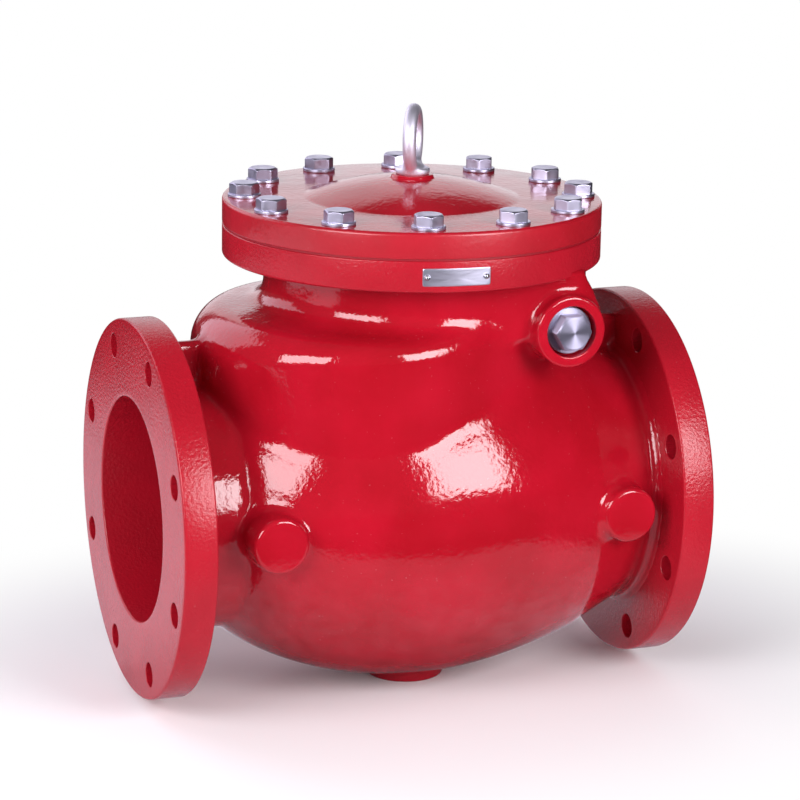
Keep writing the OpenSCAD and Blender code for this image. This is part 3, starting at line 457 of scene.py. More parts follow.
# The hinge's room, the ears beside it, and the bores for bush and plug
HUB_ROOM_R, EAR_R, EAR_Y, BUSH_BORE_R, PLUG_BORE_R, PLUG_BORE_Y = 24, 26, 52, 15.05, 16.65, 119
SEAT_TILT, SEAT_R, SEAT_RIM, SEAT_BACK, BULKHEAD, SPIGOT_R = math.radians(5), 113.0, 9, 34.0, 38.0, 108.05
STEM_OFFSET = 26
SWING = (HINGE_Z - STEM_OFFSET * math.sin(SEAT_TILT)) / math.cos(SEAT_TILT)


def casting_outside(x, y, z):
    """The pattern: solids joined from the largest to the smallest, each with the fillet of its corner."""
    r_pipe, r_bonnet = np.hypot(y, z), np.hypot(x - BONNET_X, y)
    side, r_hinge = np.abs(y), np.hypot(x - HINGE_X, z - HINGE_Z)
    f = pipe_side(x, r_pipe)
    f = soft_min(f, np.maximum(shouldered(x, y, z, 0), -z - 40), 5)
    for x0, x1 in ((-HALF_LENGTH, BARREL_X - 120), (BONNET_X + 107, HALF_LENGTH)):
        f = soft_min(f, block(x, y, z, (x0, -RIB_HALF, 90), (x1, RIB_HALF, RIB_TOP), 5), 9)
    f = soft_min(f, rod(r_bonnet, z, BONNET_NECK_R, 0, 400), 18)
    web = block(x, side, z, (BONNET_X + 34, -200, HINGE_Z - 10), (HINGE_X + WEB_HALF, WEB_Y, 250), 5)
    web = -soft_min(-web, -SLANT_COS * (side - SLANT_Y - SLANT * (x - SLANT_X)), 8)
    cut = (x - HINGE_X - WEB_HALF / 2) * math.cos(WEB_LEAN) + (z - BONNET_UNDER - 4) * math.sin(WEB_LEAN)
    f = soft_min(f, -soft_min(-web, -cut, 16), 16)
    f = soft_min(f, rod(r_hinge, side, HINGE_BOSS_R - 0.3, 0, HINGE_BOSS_Y - 1, 3), 7)
    f = soft_min(f, rod(r_bonnet, z, BONNET_R - 0.8, BONNET_UNDER + 0.5, 300, 1), 7)
    for boss_x in SIDE_BOSSES:
        f = soft_min(f, rod(np.hypot(x - boss_x, z), side, SIDE_BOSS_R, 60, SIDE_BOSS_Y - 0.6, 3), 9)
    f = soft_min(f, rod(r_bonnet, z, DRAIN_R - 0.3, DRAIN_Z + 0.6, -100, 2), 6)
    return np.maximum(np.maximum(f, z - BONNET_UNDER - 5), np.abs(x) - cut_x)


def casting_inside(x, y, z):
    """The core: what the liquid and the clapper have for room, with the seat's recess and the hinge bores."""
    r_pipe, side, r_hinge = np.hypot(y, z), np.abs(y), np.hypot(x - HINGE_X, z - HINGE_Z)
    along = (x - HINGE_X) * math.cos(SEAT_TILT) - (z - HINGE_Z) * math.sin(SEAT_TILT)
    down = (x - HINGE_X) * math.sin(SEAT_TILT) + (z - HINGE_Z) * math.cos(SEAT_TILT)
    r_seat = np.hypot(y, down + SWING)
    room = egg(x, r_pipe, BULB_X, BULB_LONG - WALL, BULB_R - WALL)
    room = np.minimum(room, np.maximum(shouldered(x, y, z, WALL), -z))
    room = np.minimum(room, rod(np.hypot(x - BONNET_X, y), z, BONNET_NECK_R - WALL, 0, 400))
    room = np.maximum(room, along - BULKHEAD)
    room = np.maximum(room, -rod(r_seat, along, SEAT_R + SEAT_RIM, SEAT_BACK, 80))
    room = np.minimum(room, rod(r_hinge, side, HUB_ROOM_R, -60, EAR_Y))
    room = np.maximum(room, -rod(r_hinge, side, EAR_R, EAR_Y, 120))
    room = np.minimum(room, rod(r_pipe, x, PORT_R + 1.2, -400, 0))
    room = np.minimum(room, rod(r_pipe, x, PORT_R + 1.2, HINGE_X + 30, 400))
    room = np.minimum(room, rod(r_seat, along, SPIGOT_R, 20, SEAT_BACK + 14))
    room = np.minimum(room, rod(r_hinge, side, BUSH_BORE_R, 40, 130))
    room = np.minimum(room, rod(r_hinge, side, PLUG_BORE_R, PLUG_BORE_Y, 200))
    return np.minimum(room, rod(r_hinge, side, SPOT_R + 1, SPOT_Y + 1, 200))


def casting(x, y, z):
    """Iron: inside the pattern and outside the core."""
    return np.maximum(casting_outside(x, y, z), -casting_inside(x, y, z))


bulb_side = casting(*np.array([[BULB_X], [1 - BULB_R], [0.0]]))
print(f"one millimetre inside the bulb's side the field is {bulb_side[0]:.2f} mm")

# %% [markdown]
# ## A mesh from a field
# The volume is sampled on a grid. Each cell that the surface passes through gets one point, the mean of the
# places where the surface crosses the cell's edges, and each crossed edge joins its four cells into one
# face. Then the points slide down the field's slope until they lie on it, so the surface is far smoother
# than the grid. A ball shows how well that works.

# %% Surface net
def surface_net(field, low, high, pitch):
    """Points at the mean of the edge crossings of each cell, faces round each crossed edge."""
    axes = [np.arange(a, b + pitch, pitch) for a, b in zip(low, high)]
    values = field(*np.meshgrid(*axes, indexing="ij")).astype(np.float32)
    cells = tuple(n - 1 for n in values.shape)
    total, count = np.zeros(cells + (3,), np.float32), np.zeros(cells, np.float32)
    crossed = []
    for k in range(3):
        first = values[tuple(slice(0, -1) if m == k else slice(None) for m in range(3))]
        second = values[tuple(slice(1, None) if m == k else slice(None) for m in range(3))]
        where = np.nonzero((first < 0) != (second < 0))
        place = np.stack(where, -1).astype(np.float32)
        place[:, k] += first[where] / (first[where] - second[where])
        crossed.append((np.stack(where, -1), first[where] < 0))
        u, v = (m for m in range(3) if m != k)
        for du in (0, 1):
            for dv in (0, 1):
                cell = np.stack(where, -1)
                cell[:, u] -= du
                cell[:, v] -= dv
                good = ((cell >= 0) & (cell < cells)).all(1)
                at = tuple(cell[good].T)
                np.add.at(total, at, place[good])
                np.add.at(count, at, 1)
    used = count > 0
    number = np.full(cells, -1, np.int64)
    number[used] = np.arange(used.sum())
    points = total[used] / count[used][:, None] * pitch + np.array(low)
    faces = []
    for k, (edge, inward) in enumerate(crossed):
        u, v = (k + 1) % 3, (k + 2) % 3
        good = (edge[:, u] > 0) & (edge[:, v] > 0) & (edge[:, u] < cells[u]) & (edge[:, v] < cells[v])
        edge, inward = edge[good], inward[good]
        corners = []
        for du, dv in ((1, 1), (0, 1), (0, 0), (1, 0)):
            cell = edge.copy()
            cell[:, u] -= du
            cell[:, v] -= dv
            corners.append(number[tuple(cell.T)])
        ring = np.stack(corners, -1)
        faces.append(np.where(inward[:, None], ring, ring[:, ::-1]))
    return points.astype(float), np.concatenate(faces)


def settle(points, field, steps=4, reach=1.0, h=0.05):
    """Slides points onto the surface: p - f grad f / |grad f|^2, at most reach mm at a time."""
    for _ in range(steps):
        f = field(*points.T)
        slope = np.stack([(field(*(points + d).T) - field(*(points - d).T)) / (2 * h)
                          for d in np.eye(3) * h], -1)
        move = f[:, None] * slope / np.maximum((slope ** 2).sum(1, keepdims=True), 0.05)
        length = np.linalg.norm(move, axis=1, keepdims=True)
        points = points - move * np.minimum(1, reach / np.maximum(length, 1e-9))
    return points


def ball(x, y, z):
    """A ball of 10 mm: the distance from its centre, less its radius."""
    return np.sqrt(x * x + y * y + z * z) - 10


ball_points, _ = surface_net(ball, (-13, -13, -13), (13, 13, 13), 2.0)
print(f"a ball is off by {np.abs(ball(*ball_points.T)).max():.3f} mm, and once settled by "
      f"{np.abs(ball(*settle(ball_points, ball).T)).max():.6f} mm")

# %% [markdown]
# ## The body casting
# The box round the casting is sampled every 4 mm. Finer cells would only add faces, because the points
# settle on the surface anyway. The mesh stays smooth throughout: its fillets are wider than its cells.

# %% Body casting
PITCH = 4.0
points, faces = surface_net(casting, (-232, -176, -184), (232, 176, 230), PITCH)
points = settle(points, casting)
make_piece("body_casting", points, faces, enamel, "red_enamel_casting", replaces=["body"], sharp=180,
           merge=1e-4)

# %% [markdown]
# ## Flanges with their holes
# A pipe flange is turned after casting, so its rim is true and its edges are narrow, and eight holes are
# drilled through it. A turned surface has no holes, so each flat side is made of one patch for each hole:
# rays run from the hole's circle to the edge of its sector, and the sectors meet on shared points. The
# walls of the holes join the two sides, and rim and bore close the ring.

# %% Drilled rings
ARC_STEPS = 24


def sector_patch(r_in, r_out, pitch_r, hole_r, height, start, width, side_steps=8, rings=4):
    """Points between a hole and its sector: hole point + w * (border point - hole point).
    The border runs in, along the inner arc, out and back along the outer arc; hole points face them."""
    a0, a1 = start, start + width
    w = np.linspace(0, 1, ARC_STEPS, endpoint=False)
    v = np.linspace(0, 1, side_steps, endpoint=False)
    radius = np.concatenate([np.full(ARC_STEPS, r_out), r_out + (r_in - r_out) * v,
                             np.full(ARC_STEPS, r_in), r_in + (r_out - r_in) * v])
    angle = np.concatenate([a0 + (a1 - a0) * w, np.full(side_steps, a1), a1 + (a0 - a1) * w,
                            np.full(side_steps, a0)])
    border = np.stack([radius * np.cos(angle), radius * np.sin(angle)], -1)
    middle = (a0 + a1) / 2
    centre = pitch_r * np.array([math.cos(middle), math.sin(middle)])
    ray = border - centre
    circle = centre + hole_r * ray / np.linalg.norm(ray, axis=1, keepdims=True)
    w = np.linspace(0, 1, rings + 1)[:, None, None] ** 1.5
    flat = (circle + w * (border - circle)).reshape(-1, 2)
    return np.column_stack([flat, np.full(len(flat), height)]), circle


def drilled_ring(outer, inner, hole_count, pitch_r, hole_r, low, high, edge=0.6):
    """A ring with holes: outer and inner are profiles (r, s) from the low face to the high one. Each hole
    has a narrow chamfer and a straight wall between the two flat sides."""
    width = 2 * np.pi / hole_count
    surfaces = []
    for start in np.arange(hole_count) * width:
        rim = []
        for height, inward in ((low, 1), (high, -1)):
            flat, circle = sector_patch(inner[0 if inward > 0 else -1, 0], outer[0 if inward > 0 else -1, 0],
                                        pitch_r, hole_r + edge, height, start, width)
            count = len(circle)
            faces = grid_faces(len(flat) // count, count, False, True)
            surfaces.append((flat, faces if inward < 0 else faces[:, ::-1]))
            middle = pitch_r * np.array([math.cos(start + width / 2), math.sin(start + width / 2)])
            rim.append(np.column_stack([circle, np.full(count, height)]))
            rim.append(np.column_stack([middle + (circle - middle) * hole_r / (hole_r + edge),
                                        np.full(count, height + inward * edge)]))
        wall = np.stack([rim[0], rim[1], rim[3], rim[2]])
        surfaces.append((wall.reshape(-1, 3), grid_faces(4, count, False, True)))
    for profile, turn in ((outer, 1), (inner, -1)):
        points, faces = turned(profile, steps=hole_count * ARC_STEPS, closed=False)
        surfaces.append((points, faces[:, ::turn]))
    return joined(*surfaces)


# %% [markdown]
# ## The pipe flanges
# Both flanges are one ring, turned round for the other end. Each ring brings its own bore, which reaches as
# a thin sleeve into the casting and covers the joint between the two meshes.

# %% Pipe flanges
FLANGE_HOLES, FLANGE_PITCH_R, FLANGE_HOLE_R = 8, 149.25, 11.1
rim_outer = rounded([(165, 0, 0), (FLANGE_R, 0, 2.2), (FLANGE_R, FLANGE_T, 2.2), (165, FLANGE_T, 0)],
                    steps=6, closed=False)
for name, direction, sleeve in (("outlet_flange", -1, 76), ("inlet_flange", 1, 82)):
    bore = rounded([(PORT_R + 5, 0, 0), (PORT_R + 0.6, 0, 0), (PORT_R + 0.6, FLANGE_T - sleeve, 0),
                    (PORT_R, FLANGE_T - sleeve, 0), (PORT_R, FLANGE_T, 1.5), (PORT_R + 5, FLANGE_T, 0)],
                   steps=5, closed=False)
    bore[0, 0] = bore[-1, 0]
    points, faces = drilled_ring(rim_outer, bore, FLANGE_HOLES, FLANGE_PITCH_R, FLANGE_HOLE_R, 0, FLANGE_T)
    points = points @ AXES["x"] * (direction, 1, 1) + (direction * (HALF_LENGTH - FLANGE_T), 0, 0)
    make_piece(name, points, faces, faced_enamel, "red_enamel_casting", replaces=["body"], sharp=40)

# %% [markdown]
# ## Bonnet flange, bosses and their faces
# These are the turned ends of the casting: the wide flange that the cover sits on, the two hinge bosses
# with their thick rings, four blind bosses on the sides and the drain boss that the valve stands on.

# %% Turned ends of the casting
def turned_end(name, corners, axis="z", centre=(0, 0, 0), steps=192, material=faced_enamel, mirror=False):
    """A closed profile of rounded corners, turned round its axis and made a piece of the casting."""
    points, faces = turned(rounded(corners), axis, centre, steps)
    if mirror:
        points = points * (1, -1, 1)
    make_piece(name, points, faces, material, "red_enamel_casting", replaces=["body"], sharp=40)


turned_end("bonnet_flange", [
    (BONNET_NECK_R - WALL, BONNET_UNDER - 1, 0), (BONNET_NECK_R - 4, BONNET_UNDER - 1, 0),
    (BONNET_NECK_R, BONNET_UNDER, 0), (BONNET_R, BONNET_UNDER, 2.5), (BONNET_R, JOINT_Z, 1.2),
    (BONNET_NECK_R - WALL, JOINT_Z, 0)], centre=(BONNET_X, 0, 0), steps=256)
for side in ("front", "rear"):
    hinge_ring = [(PLUG_BORE_R, 120, 0), (HINGE_BOSS_R, 120, 0), (HINGE_BOSS_R, HINGE_BOSS_Y, 3),
                  (SPOT_R, HINGE_BOSS_Y, 1.2), (SPOT_R, SPOT_Y, 0.5), (PLUG_BORE_R, SPOT_Y, 0)]
    turned_end(f"hinge_boss_{side}", hinge_ring, "y", (HINGE_X, 0, HINGE_Z), 128, enamel, side == "front")
    for place, boss_x in zip(("outlet", "inlet"), SIDE_BOSSES):
        face = [(0, 120, 0), (SIDE_BOSS_R, 120, 0), (SIDE_BOSS_R, SIDE_BOSS_Y, 4), (0, SIDE_BOSS_Y, 0)]
        turned_end(f"{place}_boss_{side}", face, "y", (boss_x, 0, 0), 96, enamel, side == "front")
turned_end("drain_boss", [(0, -150, 0), (DRAIN_R, -150, 0), (DRAIN_R, DRAIN_Z, 2), (0, DRAIN_Z, 0)],
           centre=(BONNET_X, 0, 0), steps=128)

# %% [markdown]
# ## The cover
# A flat bolted rim, a shallow dome that takes the pressure, and a small pad for the lifting eye. Under it
# the dome is hollow, and a tapered lug stops the open arm. All of it but the lug is one turned surface.

# %% Cover
COVER_Z, COVER_T, DOME_R, DOME_H, DOME_WALL, DOME_FOOT = 248.8, 23.2, 97.0, 18.2, 14.0, 12
COVER_TOP = COVER_Z + COVER_T
BALL_R = (DOME_R ** 2 + DOME_H ** 2) / (2 * DOME_H)
BALL_Z = COVER_TOP + DOME_H - BALL_R
PAD_R, PAD_Z, EYE_HOLE_R, EYE_HOLE_DEEP = 19.0, COVER_TOP + 20.8, 8.05, 27


def ball_arc(radius, start, end, steps):
    """Points of the dome's ball between two distances from the axis."""
    r = np.linspace(start, end, steps)
    return np.stack([r, BALL_Z + np.sqrt(radius ** 2 - r ** 2)], -1)


top_edge = rounded([(BONNET_NECK_R, COVER_Z, 0), (BONNET_R, COVER_Z, 1.2), (BONNET_R, COVER_TOP, 3.2),
                    (DOME_R + 20, COVER_TOP, 0)], steps=6, closed=False)
foot_c = np.array([math.sqrt((BALL_R + DOME_FOOT) ** 2 - (COVER_TOP + DOME_FOOT - BALL_Z) ** 2),
                   COVER_TOP + DOME_FOOT])
foot_end = 360 + bearing(np.array([0, BALL_Z]) - foot_c)
foot = arc(foot_c, DOME_FOOT, 270, foot_end, 6)
dome = ball_arc(BALL_R, foot[-1, 0] - 1, PAD_R + 6, 24)
pad = rounded([(PAD_R + 5.5, BALL_Z + math.sqrt(BALL_R ** 2 - (PAD_R + 5.5) ** 2), 0),
               (PAD_R + 0.8, BALL_Z + math.sqrt(BALL_R ** 2 - PAD_R ** 2) - 0.3, 2.5),
               (PAD_R - 0.6, PAD_Z, 1.8), (EYE_HOLE_R, PAD_Z, 0)], closed=False)
hole = np.array([[EYE_HOLE_R, PAD_Z], [EYE_HOLE_R, PAD_Z - EYE_HOLE_DEEP], [0, PAD_Z - EYE_HOLE_DEEP]])
dish_edge = math.sqrt((BALL_R - DOME_WALL) ** 2 - (COVER_Z - BALL_Z) ** 2)
dish = ball_arc(BALL_R - DOME_WALL, 0, dish_edge, 30)
cover_profile = np.concatenate([top_edge[:-1], foot, dome, pad, hole, dish, [[BONNET_NECK_R, COVER_Z]]])
points, faces = turned(cover_profile, "z", (BONNET_X, 0, 0), 256)
make_piece("cover_casting", points, faces, cover_enamel, "red_enamel_casting", replaces=["cover"], sharp=40)

# %% [markdown]
# Under the cover a cast lug waits for the arm. It is a tapered stub whose end lies in the plane of the open
# arm's back, so the two meet flat. Its rings run from the cover down to that plane.

# %% Stop lug
OPEN_LEAN = SEAT_TILT + math.radians(65)
EYE_BACK, STOP_GAP, LUG_R, LUG_TAPER, LUG_STEPS = -27.0, 0.6, 21, 6, 64
STOP_L = (HINGE_X + EYE_BACK * math.cos(OPEN_LEAN) - BONNET_X) / math.sin(OPEN_LEAN)
STOP_Z = HINGE_Z - EYE_BACK * math.sin(OPEN_LEAN) - STOP_L * math.cos(OPEN_LEAN)
a = np.linspace(0, 2 * np.pi, LUG_STEPS, endpoint=False)[None, :]
w = np.linspace(0, 1, 13)[:, None]
ring_r = LUG_R - LUG_TAPER * w
end_z = STOP_Z + STOP_GAP / math.sin(OPEN_LEAN) + ring_r * np.cos(a) / math.tan(OPEN_LEAN)
ring_z = COVER_TOP * (1 - w) + end_z * w
lug = np.stack(np.broadcast_arrays(BONNET_X + ring_r * np.cos(a), ring_r * np.sin(a), ring_z), -1)
low_end = np.broadcast_to([BONNET_X, 0, STOP_Z + STOP_GAP / math.sin(OPEN_LEAN)], (1, LUG_STEPS, 3))
lug = np.concatenate([np.broadcast_to([BONNET_X, 0, COVER_TOP], (1, LUG_STEPS, 3)), lug, low_end])
make_piece("stop_lug", lug.reshape(-1, 3), grid_faces(len(lug), LUG_STEPS, False, True), enamel,
           "red_enamel_casting", replaces=["cover"], sharp=40)

# %% [markdown]
# ## Bright steel
# The bolts, washers, plugs and the eye are zinc plated: a pale grey metal with a faint blue cast, clean
# enough to mirror the room but never quite smooth. The eye was forged, so it is duller and wavier than the
# bolts. Turned faces carry fine rings that spread each highlight into a bow tie, so their reflection is
# stretched across the rings, which are faint bumps round the piece's own axis.

# %% Bright metals
def bright_metal(name, colour, roughness, spread=0.08, blotch_mm=9, bump_mm=0.03):
    """Plated steel: a metal whose roughness wanders round its mean, with faint dents."""
    material, tree, shader, place = new_material(name, Metallic=1.0, Base_Color=linear(colour))
    noise = add_node(tree, "ShaderNodeTexNoise", {"Vector": place}, Scale=1 / (blotch_mm * MM), Detail=4.0)
    rough = add_node(tree, "ShaderNodeMapRange", {"Value": noise.outputs["Fac"]}, From_Min=0.3, From_Max=0.7,
                     To_Min=roughness - spread, To_Max=roughness + spread)
    tree.links.new(shader.inputs["Roughness"], rough.outputs[0])
    tree.links.new(shader.inputs["Normal"], add_bump(tree, place, None, blotch_mm / 2, bump_mm, detail=3.0))
    return material


def turned_metal(name, colour, roughness, centre, axis, ring_mm=0.7, depth_mm=0.006):
    """Turned steel: rings about the piece's axis, as a wave of the distance from it, under the plating's
    noise. The grooves spread light across themselves, so the tangent runs round the axis and is turned a
    quarter."""
    material, tree, shader, place = new_material(name, Metallic=1.0, Base_Color=linear(colour),
                                                 Roughness=roughness, Anisotropic=0.8,
                                                 Anisotropic_Rotation=0.25)
    tangent = add_node(tree, "ShaderNodeTangent", direction_type="RADIAL", axis=axis.upper())
    tree.links.new(shader.inputs["Tangent"], tangent.outputs[0])
    centred = add_node(tree, "ShaderNodeMapping", {"Vector": place}, vector_type="TEXTURE")
    centred.inputs["Location"].default_value = to_frame(centre)
    rings = add_node(tree, "ShaderNodeTexWave", {"Vector": centred.outputs[0]}, wave_type="RINGS",
                     rings_direction=axis.upper(), Scale=0.314 / (ring_mm * MM), Distortion=0.6, Detail=2.0)
    bump = add_node(tree, "ShaderNodeBump", {"Height": rings.outputs["Fac"]}, Distance=depth_mm * MM)
    tree.links.new(shader.inputs["Normal"], add_bump(tree, place, bump.outputs[0], 6, 0.02))
    return material


zinc = bright_metal("bright_zinc_plated_steel", "#c0bdd2", 0.40)
eye_zinc = bright_metal("smooth_plated_forging", "#f4f1ff", 0.56, spread=0.06, blotch_mm=14, bump_mm=0.05)
print("materials:", zinc.name, eye_zinc.name)

# %% [markdown]
# ## Cover bolts and washers
# A hexagon head is turned first and milled after: a chamfer cone over the top, then six flats. The mesh
# does the same. A turned profile gives each ring of points its radius, and a soft minimum clips it to the
# hexagon, which leaves the curved bites that the cone makes in the six corners.

# %% Hexagons
def hexagon_radius(angle, across_flats):
    """Distance to a hexagon's side: half its width over the largest cosine to a flat, corners softened."""
    flats = np.arange(6) * np.pi / 3 + np.pi / 6
    cosine = np.maximum(np.cos(angle[..., None] - flats), 0)
    return across_flats / 2 / (cosine ** 60).sum(-1) ** (1 / 60)


def hexagon_piece(profile, across_flats, start_height, turn=0.0, steps=96):
    """A turned profile (r, s), clipped to a hexagon from start_height on: r = soft_min(profile, hexagon)."""
    a = np.linspace(0, 2 * np.pi, steps, endpoint=False)[None, :]
    r, s = profile[:, :1], profile[:, 1:]
    clipped = soft_min(np.broadcast_to(r, (len(r), steps)), hexagon_radius(a, across_flats), 0.5)
    r = np.where((s >= start_height) & (r > 0), np.maximum(clipped, 0), r)
    points = np.stack(np.broadcast_arrays(r * np.cos(a + turn), r * np.sin(a + turn), s), -1)
    return points.reshape(-1, 3), grid_faces(len(profile), steps, False, True)


def even_rows(profile, longest=0.6):
    """Adds rows to a profile, so that no step between them is longer than the given millimetres."""
    length = np.linalg.norm(np.diff(profile, axis=0), axis=1)
    parts = [a + (b - a) * np.linspace(0, 1, max(1, math.ceil(n / longest)), endpoint=False)[:, None]
             for a, b, n in zip(profile[:-1], profile[1:], length)]
    return np.concatenate(parts + [profile[-1:]])


print("a hexagon of 24 mm is", round(2 * hexagon_radius(np.array(0.0), 24.0), 2), "mm wide over its corners")

# %% [markdown]
# ## The bolt circle
# Bolts and washers share twelve places. Nobody lines hexagons up with a spanner, so each head is turned a
# little further than the one before it.

# %% Bolts and washers
BOLTS, BOLT_PITCH_R, BOLT_AF, BOLT_R, HEAD_H, BOLT_TURN = 12, 151.5, 24.0, 8, 10.0, math.radians(23)
WASHER_R, WASHER_HOLE_R, WASHER_T = 15, 8.1, 3
corner_r = BOLT_AF / math.sqrt(3)
shank = np.array([[0, -50], [BOLT_R - 1, -50], [BOLT_R, -49], [BOLT_R, -0.2], [BOLT_R + 0.5, 0]])
head = rounded([(BOLT_R + 0.5, 0, 0), (corner_r + 0.4, 0, 0.6), (corner_r + 0.4, HEAD_H - 1.9, 0.2),
                (BOLT_AF / 2 * 0.93, HEAD_H, 0.9), (0, HEAD_H, 0)], steps=5, closed=False)
head = np.concatenate([head[:4], even_rows(head[4:-1], 0.5)[:-1], [[BOLT_AF * 0.44, HEAD_H], [0, HEAD_H]]])
bolt_profile = np.concatenate([shank, head[1:]])
ring, ring_faces = turned(rounded([(WASHER_HOLE_R, 0, 0), (WASHER_R, 0, 0.5), (WASHER_R, WASHER_T, 0.7),
                                   (WASHER_HOLE_R, WASHER_T, 0)]), steps=64)
bolts, washers = [], []
for i, a in enumerate((np.arange(BOLTS) + 0.5) * 2 * np.pi / BOLTS):
    place = np.array([BONNET_X + BOLT_PITCH_R * math.cos(a), BOLT_PITCH_R * math.sin(a), COVER_TOP])
    points, faces = hexagon_piece(bolt_profile, BOLT_AF, 0, a + i * BOLT_TURN, 72)
    bolts.append((points + place + (0, 0, WASHER_T), faces))
    washers.append((ring + place, ring_faces))
make_piece("bolts_of_the_cover", *joined(*bolts), zinc, "zinc_plated_steel", replaces=["cover_bolts"],
           sharp=30)
make_piece("washers_of_the_cover", *joined(*washers), zinc, "zinc_plated_steel", replaces=["cover_washers"],
           sharp=30)

# %% [markdown]
# ## Lifting eye
# A forged eye bolt: a round ring that flows into its collar without a seam, because it was squeezed from
# one hot bar. Joining a ring and a collar as fields with a generous fillet gives that flow.

# %% Lifting eye
EYE_Z, EYE_RING_R, EYE_ROD_R, EYE_TURN = PAD_Z + 32, 25.5, 6.0, math.radians(28)
EYE_COLLAR_R, EYE_COLLAR_T, EYE_NECK_R, EYE_STEM_R, EYE_STEM_L = 15.8, 6.0, 8.2, 8, 25


def forged_eye(x, y, z):
    """A ring, hypot(off its plane, off its circle) - rod radius, joined by soft_min to its collar."""
    x = x - BONNET_X
    off = x * math.cos(EYE_TURN) - y * math.sin(EYE_TURN)
    across = x * math.sin(EYE_TURN) + y * math.cos(EYE_TURN)
    ring = np.hypot(off, np.hypot(across, z - EYE_Z) - EYE_RING_R) - EYE_ROD_R
    r = np.hypot(x, y)
    collar = rod(r, z, EYE_COLLAR_R, PAD_Z, PAD_Z + EYE_COLLAR_T, 2.4)
    neck = rod(r, z, EYE_NECK_R, PAD_Z, PAD_Z + EYE_COLLAR_T + 2, 1)
    body = soft_min(soft_min(collar, neck, 5), ring, 7)
    stem = rod(r, z, EYE_STEM_R, PAD_Z - EYE_STEM_L, PAD_Z + 2, 1)
    return np.maximum(np.minimum(body, stem), PAD_Z - EYE_STEM_L - z)


points, faces = surface_net(forged_eye, (BONNET_X - 33, -33, PAD_Z - 27), (BONNET_X + 33, 33, EYE_Z + 33),
                            0.9)
points = settle(points, forged_eye, reach=0.3, h=0.02)
make_piece("forged_lifting_eye", points, faces, eye_zinc, "polished_zinc_steel", replaces=["lifting_eye"],
           sharp=180, merge=1e-4)

# %% [markdown]
# ## Side plugs
# Each bore of the hinge pin is closed by a screwed plug, sunk in the middle of its boss: a round collar on
# a sealing ring, and a hexagon whose face was turned flat. It is one profile, clipped above the collar
# only.

# %% Side plugs
PLUG_SEAT, PLUG_R, PLUG_L, COLLAR_R, COLLAR_T, PLUG_AF = SPOT_Y + 1.5, 16.6, 14, 21.0, 5.5, 30.0
PLUG_TOP = COLLAR_T + 13
plug_corner = PLUG_AF / math.sqrt(3)
plug = np.concatenate([
    [[0, -PLUG_L], [PLUG_R - 1, -PLUG_L], [PLUG_R, 1 - PLUG_L], [PLUG_R, 0]],
    rounded([(PLUG_R, 0, 0), (COLLAR_R, 0, 0.6), (COLLAR_R, COLLAR_T, 1.4), (16, COLLAR_T, 0)], 6, False)[1:],
    even_rows(rounded([(plug_corner + 0.4, COLLAR_T + 0.02, 0), (plug_corner + 0.4, PLUG_TOP - 2.6, 0.3),
                       (PLUG_AF / 2 * 0.93, PLUG_TOP, 0.8), (PLUG_AF * 0.44, PLUG_TOP, 0)], 5, False), 0.5),
    [[0, PLUG_TOP]]])
for side, direction in (("front", -1), ("rear", 1)):
    points, faces = hexagon_piece(plug, PLUG_AF, COLLAR_T + 0.01, math.radians(30), 144)
    points = points @ AXES["y"] * (1, direction, 1) + (HINGE_X, direction * PLUG_SEAT, HINGE_Z)
    face_metal = turned_metal(f"turned_plug_face_{side}", "#b2afc6", 0.52, (HINGE_X, 0, HINGE_Z), "y")
    make_piece(f"screwed_plug_{side}", points, faces, face_metal, "turned_steel",
               replaces=[f"pin_plug_{side}"], sharp=30)

# %% [markdown]
# ## Blank plate
# A soft aluminium plate is bent round the rim of the bonnet flange and held by two drive rivets. Here it
# stays bare. It is a stack of rounded outlines, each shrunk towards the middle, bent round the rim's axis.

# %% Blank plate
TAG_W, TAG_H, TAG_T, TAG_CORNER, TAG_ANGLE, TAG_Z = 60.0, 15.6, 0.8, 1.6, math.radians(-7.1), JOINT_Z - 13.8
outline = rounded([(x * TAG_W / 2, y * TAG_H / 2, TAG_CORNER)
                   for x, y in ((-1, -1), (1, -1), (1, 1), (-1, 1))])
outline = even_rows(np.concatenate([outline, outline[:1]]), 1.5)[:-1]
# Each ring's share of the full outline and its height; the edge shrinks by millimetres, so more across it
inset = np.array([[0, 0.05], [1, 0.05], [1, TAG_T - 0.25], [0.995, TAG_T - 0.07], [0.985, TAG_T],
                  [0.9, TAG_T], [0.6, TAG_T], [0.3, TAG_T], [0, TAG_T]])
share = inset[:, :1, None]
flat = outline[None] * np.where(share > 0.98, 1 - (1 - share) * (1, 3.4), share)
angle = TAG_ANGLE + flat[..., 0] / BONNET_R
radius = BONNET_R + inset[:, 1:]
plate = np.stack([BONNET_X + radius * np.sin(angle), -radius * np.cos(angle), TAG_Z + flat[..., 1]], -1)


def satin_aluminium(name, colour, grain_mm):
    """Rolled sheet: fine streaks along its length, as noise stretched forty times along X."""
    material, tree, shader, place = new_material(name, Metallic=1.0, Base_Color=linear(colour))
    along = add_node(tree, "ShaderNodeMapping", {"Vector": place})
    along.inputs["Scale"].default_value = (0.025, 0.025, 1)
    streak = add_node(tree, "ShaderNodeTexNoise", {"Vector": along.outputs[0]}, Scale=1 / (grain_mm * MM),
                      Detail=3.0)
    rough = add_node(tree, "ShaderNodeMapRange", {"Value": streak.outputs["Fac"]}, To_Min=0.26, To_Max=0.48)
    tree.links.new(shader.inputs["Roughness"], rough.outputs[0])
    bump = add_node(tree, "ShaderNodeBump", {"Height": streak.outputs["Fac"]}, Strength=0.5,
                    Distance=0.01 * MM)
    tree.links.new(shader.inputs["Normal"], add_bump(tree, place, bump.outputs[0], 16, 0.12))
    return material


